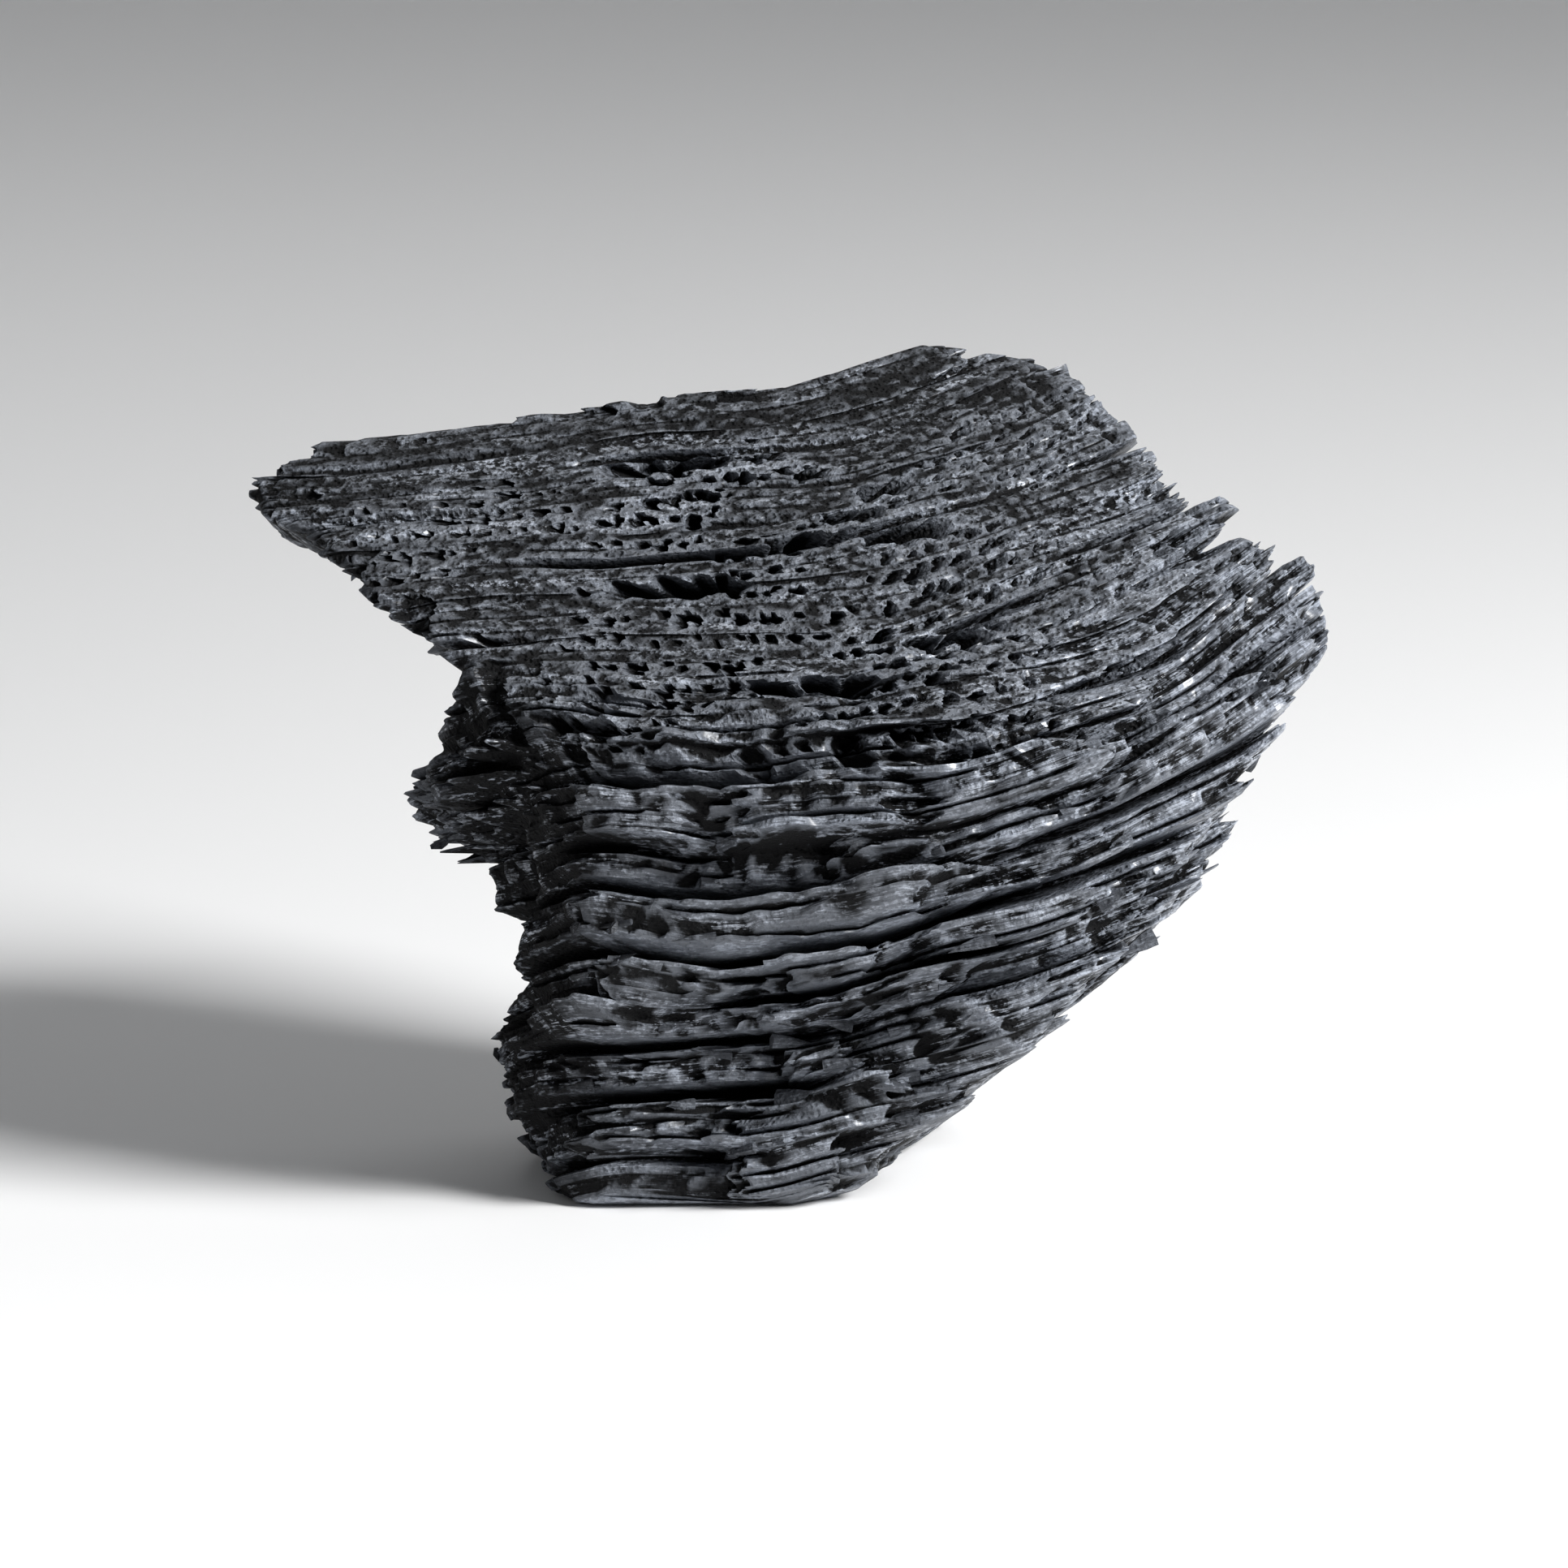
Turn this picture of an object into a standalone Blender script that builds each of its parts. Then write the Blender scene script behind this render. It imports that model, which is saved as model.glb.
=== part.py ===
"""A lump of hardwood charcoal in one piece, as it breaks from a charred log.

The lump is a slanting wedge: a broad end-grain face on top, split and splintered sides, and a
narrow foot that it stands on. All of it is built up of growth layers, which dip away from the front
and bend upwards on the right. Each layer breaks off in plates that stand out or in by their own
amount, and the gaps between layers have opened into clefts.

The body is a stack of rings of points. Each ring is laid on one growth layer and reaches out to
the broken faces of the lump, so every cleft follows its layer. Sizes are in millimetres until the
mesh is written in metres. X runs right, Y away from the front, Z up from the surface below.
"""

from dataclasses import dataclass
from math import radians

import bmesh
import bpy
import numpy as np

MM = 0.001
SEED = 71
MIDDLE = (0.2, -2.7)  # where the middle of the lump lies in plan before it is centred

# Growth layers
LAYER = 4.4  # mean thickness of one growth layer
LAYER_SPREAD = 0.4  # share by which one layer is thicker or thinner than the mean
DIP = 22.0  # degrees that the layers fall towards the back
LOWEST, HIGHEST = -6.5, 79.0  # levels of the first and the last layer, measured across them
WANDER = 0.4  # how far the gap between two layers strays up and down
BEND_START = 0.0  # X where the layers begin to bend upwards
BEND = 0.0070  # how fast they steepen to the right, per mm
TWIST = 0.0035  # how much more they rise to the right at the back than at the front

# Broken surface
EDGE_ROUND = 0.9  # rounding where two broken faces meet
STAND_OUT = 2.1  # how far one plate may stand out past the next
LEAN = 2.4  # how far the outer face of a plate may lean, over its thickness
CLEFT_DEPTH = 7.0  # deepest gap between two layers
CLEFT_SHARE = 0.13  # share of a layer that the cleft takes at each side
SWELL = 1.5  # broad unevenness of the broken faces
CHIP = 0.45  # small unevenness of the broken faces
LAYERS_APART = 17.0  # keeps the breaks of one layer unlike those of the next
FOOT_SNAP = 0.02  # what lies this close to the standing surface is flat on it

# Rings and points of the body, and how many triangles are kept of it
PLACES = (0.0, 0.07, 0.14, 0.22, 0.40, 0.60, 0.78, 0.86, 0.93)  # of the rings across a layer
COLUMNS = 264
CAP = (0.75, 0.5, 0.25)  # rings inside the first and the last one, as shares of their size
TRIANGLES = 10_000
SHARP = 32.0  # degrees between two triangles from which their edge is shaded sharp


@dataclass(frozen=True)
class Face:
    """One broken face of the lump: a plane through a point, with how rough it is.

    relief scales how far its plates stand out, cleft how deep its gaps are, and shut is the share
    of its gaps that never opened.
    """

    name: str
    through: tuple
    facing: tuple
    relief: float
    cleft: float
    shut: float


FACES = (
    Face("end grain", (0.0, -38.0, 49.3), (0.00, -0.400, 0.916), 0.10, 0.30, 0.45),
    Face("front", (0.0, -38.0, 48.0), (0.05, -0.930, -0.365), 1.00, 1.00, 0.00),
    Face("front right", (36.0, -33.0, 47.0), (0.52, -0.760, -0.390), 0.90, 1.00, 0.00),
    Face("right", (46.5, -15.0, 44.0), (0.89, -0.050, -0.450), 0.80, 0.80, 0.05),
    Face("lower right", (38.0, -12.0, 28.0), (0.67, -0.200, -0.720), 0.80, 0.80, 0.05),
    Face("right end", (51.6, -20.0, 54.0), (1.00, -0.120, 0.060), 0.50, 0.80, 0.10),
    Face("right shoulder", (49.0, -6.0, 64.0), (0.86, 0.450, 0.240), 0.45, 0.50, 0.20),
    Face("back right", (26.0, 27.0, 60.0), (0.50, 0.860, -0.100), 0.55, 0.60, 0.20),
    Face("back", (0.0, 30.0, 50.0), (-0.22, 0.960, -0.170), 0.60, 0.60, 0.20),
    Face("top back", (12.0, 30.5, 79.8), (0.15, 0.700, 0.700), 0.30, 0.30, 0.40),
    Face("left back", (-44.0, 14.0, 66.0), (-0.62, 0.760, -0.190), 0.45, 0.50, 0.30),
    Face("left", (-52.0, 2.0, 63.0), (-0.90, 0.040, -0.430), 0.50, 0.50, 0.25),
    Face("left front", (-20.0, -37.0, 48.0), (-0.80, -0.570, -0.190), 0.35, 0.50, 0.30),
    Face("foot", (0.0, 0.0, 0.0), (0.00, 0.000, -1.000), 0.00, 0.00, 1.00),
)
END_GRAIN, FOOT = 0, len(FACES) - 1


@dataclass(frozen=True)
class Dent:
    """A hollow in the surface, or a ledge where the depth is below zero.

    reach is its half length along the layers and thick its half thickness across them.
    """

    centre: tuple
    reach: float
    thick: float
    depth: float

    def nearness(self, x, y, z):
        """1 at the centre, 0 at the rim and less outside it."""
        apart = (x - self.centre[0]) ** 2 + (y - self.centre[1]) ** 2
        own = z - self.centre[2] - flat_layer(x, y) + flat_layer(*self.centre[:2])
        return 1.0 - apart / self.reach**2 - (own / self.thick) ** 2


# Hollows in the sides. They fade out below the end grain, which overhangs them.
HOLLOWS = (
    # The undercut left side, with the splintery ledge that juts out of it
    Dent((-44.0, -4.0, 50.0), 33.0, 14.5, 17.0),
    Dent((-50.0, -2.0, 60.0), 28.0, 9.0, 5.5),
    Dent((-32.0, -17.0, 39.0), 17.0, 2.2, -6.0),
    Dent((-36.0, 0.0, 21.5), 31.0, 17.0, 10.0),
    # Chips sprung off the back and the sides
    Dent((38.0, 24.0, 50.0), 26.0, 15.0, 14.0),
    Dent((-10.0, 36.0, 26.0), 18.0, 10.0, 4.0),
)
# Lens-shaped clefts in the end grain
LENSES = (
    Dent((-12.6, 7.4, 69.1), 6.0, 1.6, 6.0),
    Dent((-10.7, -12.6, 60.4), 7.5, 1.5, 6.5),
    Dent((2.8, -5.2, 63.6), 4.0, 1.2, 5.0),
    Dent((12.6, -3.9, 64.2), 5.5, 1.4, 6.0),
    Dent((9.5, 3.0, 67.2), 3.5, 1.2, 5.0),
    Dent((2.8, -28.7, 53.4), 7.0, 1.6, 6.0),
    Dent((17.9, -20.0, 57.2), 5.5, 1.4, 5.5),
    Dent((43.9, -3.7, 64.3), 6.0, 1.3, 4.5),
    Dent((34.6, -24.7, 55.1), 9.0, 0.9, 5.0),
    Dent((46.5, -23.0, 55.5), 7.0, 1.1, 5.0),
)


class Waves:
    """Smooth unevenness: sine waves that run in many directions, with values of about -1 to 1."""

    def __init__(self, random, wavelength, count=14):
        heading = random.normal(size=(count, 3))
        heading /= np.linalg.norm(heading, axis=1)[:, None]
        length = wavelength * random.uniform(0.7, 1.5, count)
        self.pulse = heading * (2 * np.pi / length)[:, None]
        self.phase = random.uniform(0, 2 * np.pi, count)
        self.scale = 1.4 / np.sqrt(count)

    def at(self, x, y, z):
        total = np.zeros(np.broadcast(x, y, z).shape)
        for (a, b, c), phase in zip(self.pulse, self.phase):
            total += np.sin(a * x + b * y + c * z + phase)
        return total * self.scale


def smooth_step(low, high, value):
    share = np.clip((value - low) / (high - low), 0.0, 1.0)
    return share * share * (3.0 - 2.0 * share)


def flat_layer(x, y):
    """How far the layers rise or fall from the origin to a place in plan."""
    bent = np.maximum(x - BEND_START, 0.0)
    return BEND * bent**2 + TWIST * (y + 38.0) * x - np.tan(np.radians(DIP)) * y


def face_distances(x, y, z):
    """How far each point lies outside each broken face."""
    rows = []
    for face in FACES:
        normal = np.array(face.facing) / np.linalg.norm(face.facing)
        offset = normal @ np.array(face.through)
        rows.append(normal[0] * x + normal[1] * y + normal[2] * z - offset)
    return np.array(rows)


def outside(distances):
    """Above zero where a point is outside the lump, with the meeting edges rounded."""
    return EDGE_ROUND * np.log(np.exp(distances / EDGE_ROUND).sum(axis=0))


class Lump:
    """The lump's rings of points."""

    def __init__(self):
        random = np.random.default_rng(SEED)
        self.ripple = Waves(random, 40.0)
        self.wander = Waves(random, 20.0)
        self.swell = Waves(random, 34.0)
        self.chips = Waves(random, 5.0)
        self.gaps = Waves(random, 26.0)
        self.plates = Waves(random, 17.0)
        self.leans = Waves(random, 15.0)
        self.starts = self.layer_starts(random)

    def layer_starts(self, random):
        """The level where each growth layer begins, from the lowest to the highest."""
        levels = [LOWEST]
        while levels[-1] < HIGHEST:
            thickness = LAYER * random.uniform(1 - LAYER_SPREAD, 1 + LAYER_SPREAD)
            levels.append(levels[-1] + thickness)
        shares = np.array(levels) - LOWEST
        return LOWEST + shares * (HIGHEST - LOWEST) / shares[-1]

    def height(self, x, y, level):
        """The height of a growth layer over a place in plan."""
        strayed = level + WANDER * self.wander.at(x, y, level)
        waved = 0.6 * self.ripple.at(x, y, level * 0.35)
        return strayed / np.cos(np.radians(DIP)) + flat_layer(x, y) + waved

    def frames(self, level):
        """For each ring, the middle of its layer inside the lump and its spread in plan."""
        x, y = np.meshgrid(np.linspace(-58, 58, 59), np.linspace(-46, 46, 47), indexing="ij")
        x, y = x.ravel()[None], y.ravel()[None]
        depth = -outside(face_distances(x, y, self.height(x, y, level[:, None])))
        weight = np.clip(depth, 0.0, 4.0)
        weight /= weight.sum(axis=1, keepdims=True)
        middle = np.stack([(weight * x).sum(axis=1), (weight * y).sum(axis=1)], axis=1)
        away = np.stack([x - middle[:, :1], y - middle[:, 1:]], axis=-1)
        spread = np.einsum("rp,rpi,rpj->rij", weight, away, away)
        values, vectors = np.linalg.eigh(spread)
        root = np.sqrt(np.maximum(values, 1e-6))
        return middle, np.einsum("rik,rk,rjk->rij", vectors, root, vectors)

    def points(self):
        """All points, as an array of rings by columns by X, Y and Z."""
        count = len(self.starts) - 1
        layer = np.repeat(np.arange(count), len(PLACES))[1:, None]
        share = np.tile(PLACES, count)[1:, None]
        level = self.starts[layer] + share * np.diff(self.starts)[layer]

        middle, frame = self.frames(level[:, 0])
        turn = np.arange(COLUMNS) * 2 * np.pi / COLUMNS
        way = np.einsum("rij,jc->irc", frame, np.array([np.cos(turn), np.sin(turn)]))
        way /= np.linalg.norm(way, axis=0)

        def place_at(radius):
            x, y = middle[:, :1] + radius * way[0], middle[:, 1:] + radius * way[1]
            return x, y, self.height(x, y, level)

        def reach(inner, outer, is_out):
            for _ in range(24):
                half = (inner + outer) / 2
                beyond = is_out(*place_at(half))
                inner, outer = np.where(beyond, inner, half), np.where(beyond, half, outer)
            return inner

        none = np.zeros(way[0].shape)
        radius = reach(none, none + 120.0, lambda *p: outside(face_distances(*p)) > 0)
        place = place_at(radius)
        radius = np.maximum(radius - self.inwards(place, level, layer, share), 0.3 * radius)
        floor = reach(none, radius, lambda x, y, z: z < 0)
        radius = np.where(place_at(radius)[2] < 0, floor, radius)

        x, y, z = place_at(radius)
        z = np.where(z < FOOT_SNAP, 0.0, z)
        rings = np.stack([x, y, z], axis=-1)
        ends = []
        for ring, row in ((0, 1), (-1, -1)):
            for part in CAP[::row]:
                shrunk = place_at(radius * part)
                ends.append(np.stack([p[ring] for p in shrunk], axis=-1))
        caps = np.array(ends)
        return np.concatenate([caps[: len(CAP)][::-1], rings, caps[len(CAP) :][::-1]])

    def inwards(self, place, level, layer, share):
        """How far each point moves in along its layer from the plain faces."""
        x, y, z = place
        weight = np.exp(face_distances(x, y, z) / 2.0)
        weight /= weight.sum(axis=0)
        relief = sum(w * face.relief for w, face in zip(weight, FACES))
        cleft = sum(w * face.cleft for w, face in zip(weight, FACES))
        shut = sum(w * face.shut for w, face in zip(weight, FACES))

        boundary = layer + (share > 0.5)
        opened = self.gaps.at(x, y, boundary * LAYERS_APART) * 0.5 + 0.5
        opened = smooth_step(0.1, 0.9, opened - shut)
        edge = np.minimum(share, 1.0 - share)
        gap = CLEFT_DEPTH * opened * cleft * (1.0 - smooth_step(0.0, CLEFT_SHARE, edge))

        broken = self.plates.at(x, y, layer * LAYERS_APART)
        step = smooth_step(0.20, 0.27, broken) - smooth_step(0.25, 0.32, -broken)
        lean = LEAN * (share - 0.5) * self.leans.at(x, y, layer * LAYERS_APART)
        rough = relief * (STAND_OUT * step + lean + CHIP * self.chips.at(x, y, z))
        broad = SWELL * (0.25 + 0.75 * relief) * self.swell.at(x, y, z)
        moved = (gap - rough - broad) * (1.0 - weight[FOOT])

        under = 1.0 - smooth_step(0.02, 0.4, weight[END_GRAIN])
        for dents, strength in ((HOLLOWS, under), (LENSES, 1.0)):
            for dent in dents:
                moved += strength * dent.depth * smooth_step(0.0, 0.8, dent.nearness(x, y, z))
        return moved


def closed_body(points):
    """The rings of points as one closed mesh, centred in plan."""
    rings, columns = points.shape[:2]
    body = bmesh.new()
    loops = [[body.verts.new((p - (*MIDDLE, 0.0)) * MM) for p in ring] for ring in points]
    for low, high in zip(loops, loops[1:]):
        for i in range(columns):
            j = (i + 1) % columns
            body.faces.new((low[i], low[j], high[j], high[i]))
    for loop, turned in ((loops[0], True), (loops[-1], False)):
        centre = body.verts.new(sum((v.co for v in loop[1:]), loop[0].co.copy()) / columns)
        for i in range(columns):
            corners = (loop[i], loop[(i + 1) % columns], centre)
            body.faces.new(corners[::-1] if turned else corners)
    mesh = bpy.data.meshes.new("charcoal_lump")
    body.to_mesh(mesh)
    body.free()
    return mesh


def thinned(lump, triangles):
    """The object's mesh with fewer triangles: the flat spots lose the most of them."""
    lump.data.calc_loop_triangles()
    decimate = lump.modifiers.new("Decimate", "DECIMATE")
    decimate.ratio = triangles / len(lump.data.loop_triangles)
    graph = bpy.context.evaluated_depsgraph_get()
    mesh = bpy.data.meshes.new_from_object(lump.evaluated_get(graph))
    lump.modifiers.remove(decimate)
    for vertex in mesh.vertices:
        vertex.co.z = vertex.co.z if vertex.co.z > FOOT_SNAP * MM else 0.0
    return mesh


def charcoal():
    """Nearly black, with the dull blue-grey sheen of charred wood."""
    material = bpy.data.materials.new("charcoal")
    material.use_nodes = True
    shader = material.node_tree.nodes["Principled BSDF"]
    shader.inputs["Base Color"].default_value = (0.020, 0.021, 0.024, 1.0)
    shader.inputs["Metallic"].default_value = 0.0
    shader.inputs["Roughness"].default_value = 0.5
    return material


def main():
    for old in list(bpy.data.objects):
        bpy.data.objects.remove(old)
    lump = bpy.data.objects.new("charcoal_lump", closed_body(Lump().points()))
    bpy.context.collection.objects.link(lump)
    lump.data = thinned(lump, TRIANGLES)
    lump.data.shade_smooth()
    lump.data.set_sharp_from_angle(angle=radians(SHARP))
    lump.data.materials.append(charcoal())


if __name__ == "__main__":
    main()
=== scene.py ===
"""The looks of a lump of hardwood charcoal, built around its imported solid.

The lump is one piece of charred wood. Its fine body follows the same growth layers and the same
broken faces as the solid, and adds what is too small for a solid: thin laminae, cracks between
them, ragged breaks and the pores of the end grain. Splinters stand on its torn edges.

Sizes are in millimetres until a mesh is written in metres. X runs right, Y away from the front and
Z up from the surface that the lump stands on.
"""

import logging
from collections.abc import Callable
from dataclasses import dataclass, field
from enum import Enum
from math import radians

import bpy
import numpy as np
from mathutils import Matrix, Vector
from numpy.typing import NDArray


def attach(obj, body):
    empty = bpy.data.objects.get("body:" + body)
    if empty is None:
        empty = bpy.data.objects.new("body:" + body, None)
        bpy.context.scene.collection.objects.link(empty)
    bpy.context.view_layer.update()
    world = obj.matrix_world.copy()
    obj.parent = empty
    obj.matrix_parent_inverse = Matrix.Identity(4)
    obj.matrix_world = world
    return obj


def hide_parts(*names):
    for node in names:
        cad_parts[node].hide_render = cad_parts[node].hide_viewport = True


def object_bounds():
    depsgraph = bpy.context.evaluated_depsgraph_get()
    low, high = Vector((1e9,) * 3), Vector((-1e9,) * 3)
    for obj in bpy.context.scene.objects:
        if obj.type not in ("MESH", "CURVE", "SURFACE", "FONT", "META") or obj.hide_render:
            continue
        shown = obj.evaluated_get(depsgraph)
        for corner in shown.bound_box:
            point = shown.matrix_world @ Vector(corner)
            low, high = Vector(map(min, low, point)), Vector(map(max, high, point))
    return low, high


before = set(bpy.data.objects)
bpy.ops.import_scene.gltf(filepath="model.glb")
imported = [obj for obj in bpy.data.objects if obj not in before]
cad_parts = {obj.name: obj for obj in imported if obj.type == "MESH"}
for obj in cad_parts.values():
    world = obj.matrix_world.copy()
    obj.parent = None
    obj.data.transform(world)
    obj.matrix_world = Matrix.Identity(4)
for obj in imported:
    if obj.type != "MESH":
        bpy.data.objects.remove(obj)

Array = NDArray[np.float64]
Triple = tuple[float, float, float]
Piece, Mesh = bpy.types.Object, bpy.types.Mesh
Tree, Node, Socket = bpy.types.NodeTree, bpy.types.Node, bpy.types.NodeSocket

SOLID_LOW, SOLID_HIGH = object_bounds()
log = logging.getLogger("charcoal")

MM = 0.001
NODE = "charcoal_lump"
BODY = "root"

# The lump's driving dimensions, as its solid has them
SEED = 71
MIDDLE = (0.2, -2.7)  # where the middle of the lump lies in plan before it is centred
LAYER = 4.4  # mean thickness of one growth layer
LAYER_SPREAD = 0.4  # share by which one layer is thicker or thinner than the mean
DIP = 22.0  # degrees that the layers fall towards the back
LOWEST, HIGHEST = -6.5, 79.0  # levels of the first and the last layer, measured across them
WANDER = 0.4  # how far the gap between two layers strays up and down
RIPPLE = 0.6  # how far a whole layer waves up and down
BEND = 0.0070  # how fast the layers steepen to the right, per mm
TWIST = 0.0035  # how much more they rise to the right at the back than at the front
FRONT = -38.0  # Y of the front edge of the end grain
EDGE_ROUND = 0.9  # rounding where two broken faces meet
FACE_BLEND = 2.0  # over what distance the roughness of one face passes into that of the next
STAND_OUT = 2.1  # how far one plate may stand out past the next
LEAN = 2.4  # how far the outer face of a plate may lean, over its thickness
CLEFT_DEPTH = 7.0  # deepest gap between two layers
CLEFT_SHARE = 0.13  # share of a layer that the cleft takes at each side
SWELL = 1.5  # broad unevenness of the broken faces
CHIP = 0.45  # small unevenness of the broken faces
APART = 17.0  # keeps the breaks of one layer unlike those of the next
CRACKS_FROM = 300.0  # keeps the cracks unlike the laminae
OPENED = (0.1, 0.9)  # from where to where a gap between two layers opens
PLATE_OUT = (0.17, 0.30)  # from where to where a plate stands out
PLATE_IN = (0.22, 0.35)  # and where it broke off further in
HOLLOW_RIM = 0.8  # share of a hollow that its rim takes, before its full depth
LEVEL_PASSES = 8  # how often the search for the level of a point is bettered
FOOT_SNAP = 0.02  # what lies this close to the standing surface is flat on it
TORN_LIGHT = (0.110, 0.120, 0.140)  # colour of bare torn fibres
LEDGE_AT = (-38.0, -15.0, 39.0)  # middle of the splintery ledge on the left
LEDGE_RADIUS = 13.0
SPLIT_END = (15.0, 29.0)  # from where to where the end grain turns to long plates at the right
SPLIT_END_SLANT = 0.3  # how much further right that is at the back

# The patterns of the finishes: scale, detail and roughness of a noise, and from where to where
# a value is graded
BROAD_FIBRES, FINE_FIBRES = (1.0, 3.0, 0.55), (3.1, 3.0, 0.6)
BRIGHT_BAND, BRIGHT_THREAD = (0.42, 0.66), (0.42, 0.62)
PINHOLE, LIT_GRAIN = (0.10, 0.50), (0.46, 0.60)
GRAIN_SCALE, GRAIN_DETAIL, GRAIN_ROUGH = 0.8, 4.0, 0.66


@dataclass(frozen=True)
class Face:
    """One broken face of the lump: a plane through a point, with how rough it is.

    relief scales how far its plates stand out, cleft how deep its gaps are, and shut is the share
    of its gaps that never opened.
    """

    name: str
    through: Triple
    facing: Triple
    relief: float
    cleft: float
    shut: float


FACES = (
    Face("end grain", (0.0, -38.0, 49.3), (0.00, -0.400, 0.916), 0.10, 0.30, 0.45),
    Face("front", (0.0, -38.0, 48.0), (0.05, -0.930, -0.365), 1.00, 1.00, 0.00),
    Face("front right", (36.0, -33.0, 47.0), (0.52, -0.760, -0.390), 0.90, 1.00, 0.00),
    Face("right", (46.5, -15.0, 44.0), (0.89, -0.050, -0.450), 0.80, 0.80, 0.05),
    Face("lower right", (38.0, -12.0, 28.0), (0.67, -0.200, -0.720), 0.80, 0.80, 0.05),
    Face("right end", (51.6, -20.0, 54.0), (1.00, -0.120, 0.060), 0.50, 0.80, 0.10),
    Face("right shoulder", (49.0, -6.0, 64.0), (0.86, 0.450, 0.240), 0.45, 0.50, 0.20),
    Face("back right", (26.0, 27.0, 60.0), (0.50, 0.860, -0.100), 0.55, 0.60, 0.20),
    Face("back", (0.0, 30.0, 50.0), (-0.22, 0.960, -0.170), 0.60, 0.60, 0.20),
    Face("top back", (12.0, 30.5, 79.8), (0.15, 0.700, 0.700), 0.30, 0.30, 0.40),
    Face("left back", (-44.0, 14.0, 66.0), (-0.62, 0.760, -0.190), 0.45, 0.50, 0.30),
    Face("left", (-52.0, 2.0, 63.0), (-0.90, 0.040, -0.430), 0.50, 0.50, 0.25),
    Face("left front", (-20.0, -37.0, 48.0), (-0.80, -0.570, -0.190), 0.35, 0.50, 0.30),
    Face("foot", (0.0, 0.0, 0.0), (0.00, 0.000, -1.000), 0.00, 0.00, 1.00),
)
FACE_NAMES = [face.name for face in FACES]
END_GRAIN, FOOT = FACE_NAMES.index("end grain"), FACE_NAMES.index("foot")
LEFT, LEFT_FRONT = FACE_NAMES.index("left"), FACE_NAMES.index("left front")


def smooth_step(low: float, high: float, value: Array) -> Array:
    """A smooth rise from 0 at low to 1 at high.

    Args:
        low: Where the rise begins.
        high: Where it ends.
        value: The values to grade.

    Returns:
        The graded values, from 0 to 1.
    """
    share = np.clip((value - low) / (high - low), 0.0, 1.0)
    return share * share * (3.0 - 2.0 * share)


def flat_layer(x: Array, y: Array) -> Array:
    """How far the layers rise or fall from the origin to a place in plan.

    Args:
        x: Places to the right, in mm.
        y: Places away from the front, in mm.

    Returns:
        The rise at each place, in mm.
    """
    bent = np.maximum(x, 0.0)
    return BEND * bent**2 + TWIST * (y - FRONT) * x - np.tan(np.radians(DIP)) * y


def face_distances(x: Array, y: Array, z: Array) -> Array:
    """How far each point lies outside each broken face.

    Args:
        x: Places to the right, in mm.
        y: Places away from the front, in mm.
        z: Heights, in mm.

    Returns:
        Distances in mm, with the faces along the first axis.
    """
    rows = []
    for face in FACES:
        normal = (np.array(face.facing) / np.linalg.norm(face.facing)).astype(np.float32)
        offset = normal @ np.array(face.through, np.float32)
        rows.append(normal[0] * x + normal[1] * y + normal[2] * z - offset)
    return np.array(rows)


def outside(distances: Array) -> Array:
    """Above zero where a point is outside the lump, with the meeting edges rounded."""
    return EDGE_ROUND * np.log(np.exp(distances / EDGE_ROUND).sum(axis=0))


def face_weights(x: Array, y: Array, z: Array) -> Array:
    """How much each broken face counts at each point.

    Args:
        x: Places to the right, in mm.
        y: Places away from the front, in mm.
        z: Heights, in mm.

    Returns:
        Weights that add up to 1, with the faces along the first axis.
    """
    distances = face_distances(x, y, z) / FACE_BLEND
    weight = np.exp(distances - distances.max(axis=0))
    return weight / weight.sum(axis=0)


def near_ledge(x: Array, y: Array, z: Array) -> Array:
    """How close each point is to the split ledge, from 0 to 1.

    Args:
        x: Places to the right, in mm.
        y: Places away from the front, in mm.
        z: Heights, in mm.

    Returns:
        The share at each point.
    """
    away = (x - LEDGE_AT[0]) ** 2 + (y - LEDGE_AT[1]) ** 2 + (z - LEDGE_AT[2]) ** 2
    return np.exp(-away / LEDGE_RADIUS**2)


def split_end(x: Array, y: Array) -> Array:
    """Where the end grain broke along its layers, in long plates at its right end, from 0 to 1.

    Args:
        x: Places to the right, in mm.
        y: Places away from the front, in mm.

    Returns:
        The share at each place.
    """
    return smooth_step(*SPLIT_END, x - SPLIT_END_SLANT * (y - FRONT))


@dataclass(frozen=True)
class Dent:
    """A hollow in the surface, or a ledge where the depth is below zero.

    reach is its half length along the layers and thick its half thickness across them.
    """

    centre: Triple
    reach: float
    thick: float
    depth: float

    def inwards(self, x: Array, y: Array, z: Array, uneven: Array | float = 0.0) -> Array:
        """How far the hollow moves each point in.

        Args:
            x: Places to the right, in mm.
            y: Places away from the front, in mm.
            z: Heights, in mm.
            uneven: How far the rim strays, as a share of the hollow's size.

        Returns:
            The depth at each point, in mm.
        """
        apart = (x - self.centre[0]) ** 2 + (y - self.centre[1]) ** 2
        own = z - self.centre[2] - flat_layer(x, y) + flat_layer(*self.centre[:2])
        near = 1.0 + uneven - apart / self.reach**2 - (own / self.thick) ** 2
        return self.depth * smooth_step(0.0, HOLLOW_RIM, near)


# Hollows in the sides. They fade out below the end grain, which overhangs them.
HOLLOWS = (
    Dent((-44.0, -4.0, 50.0), 33.0, 14.5, 17.0),
    Dent((-50.0, -2.0, 60.0), 28.0, 9.0, 5.5),
    Dent((-36.0, 0.0, 21.5), 31.0, 17.0, 10.0),
    Dent((38.0, 24.0, 50.0), 26.0, 15.0, 14.0),
    Dent((-10.0, 36.0, 26.0), 18.0, 10.0, 4.0),
)
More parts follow.
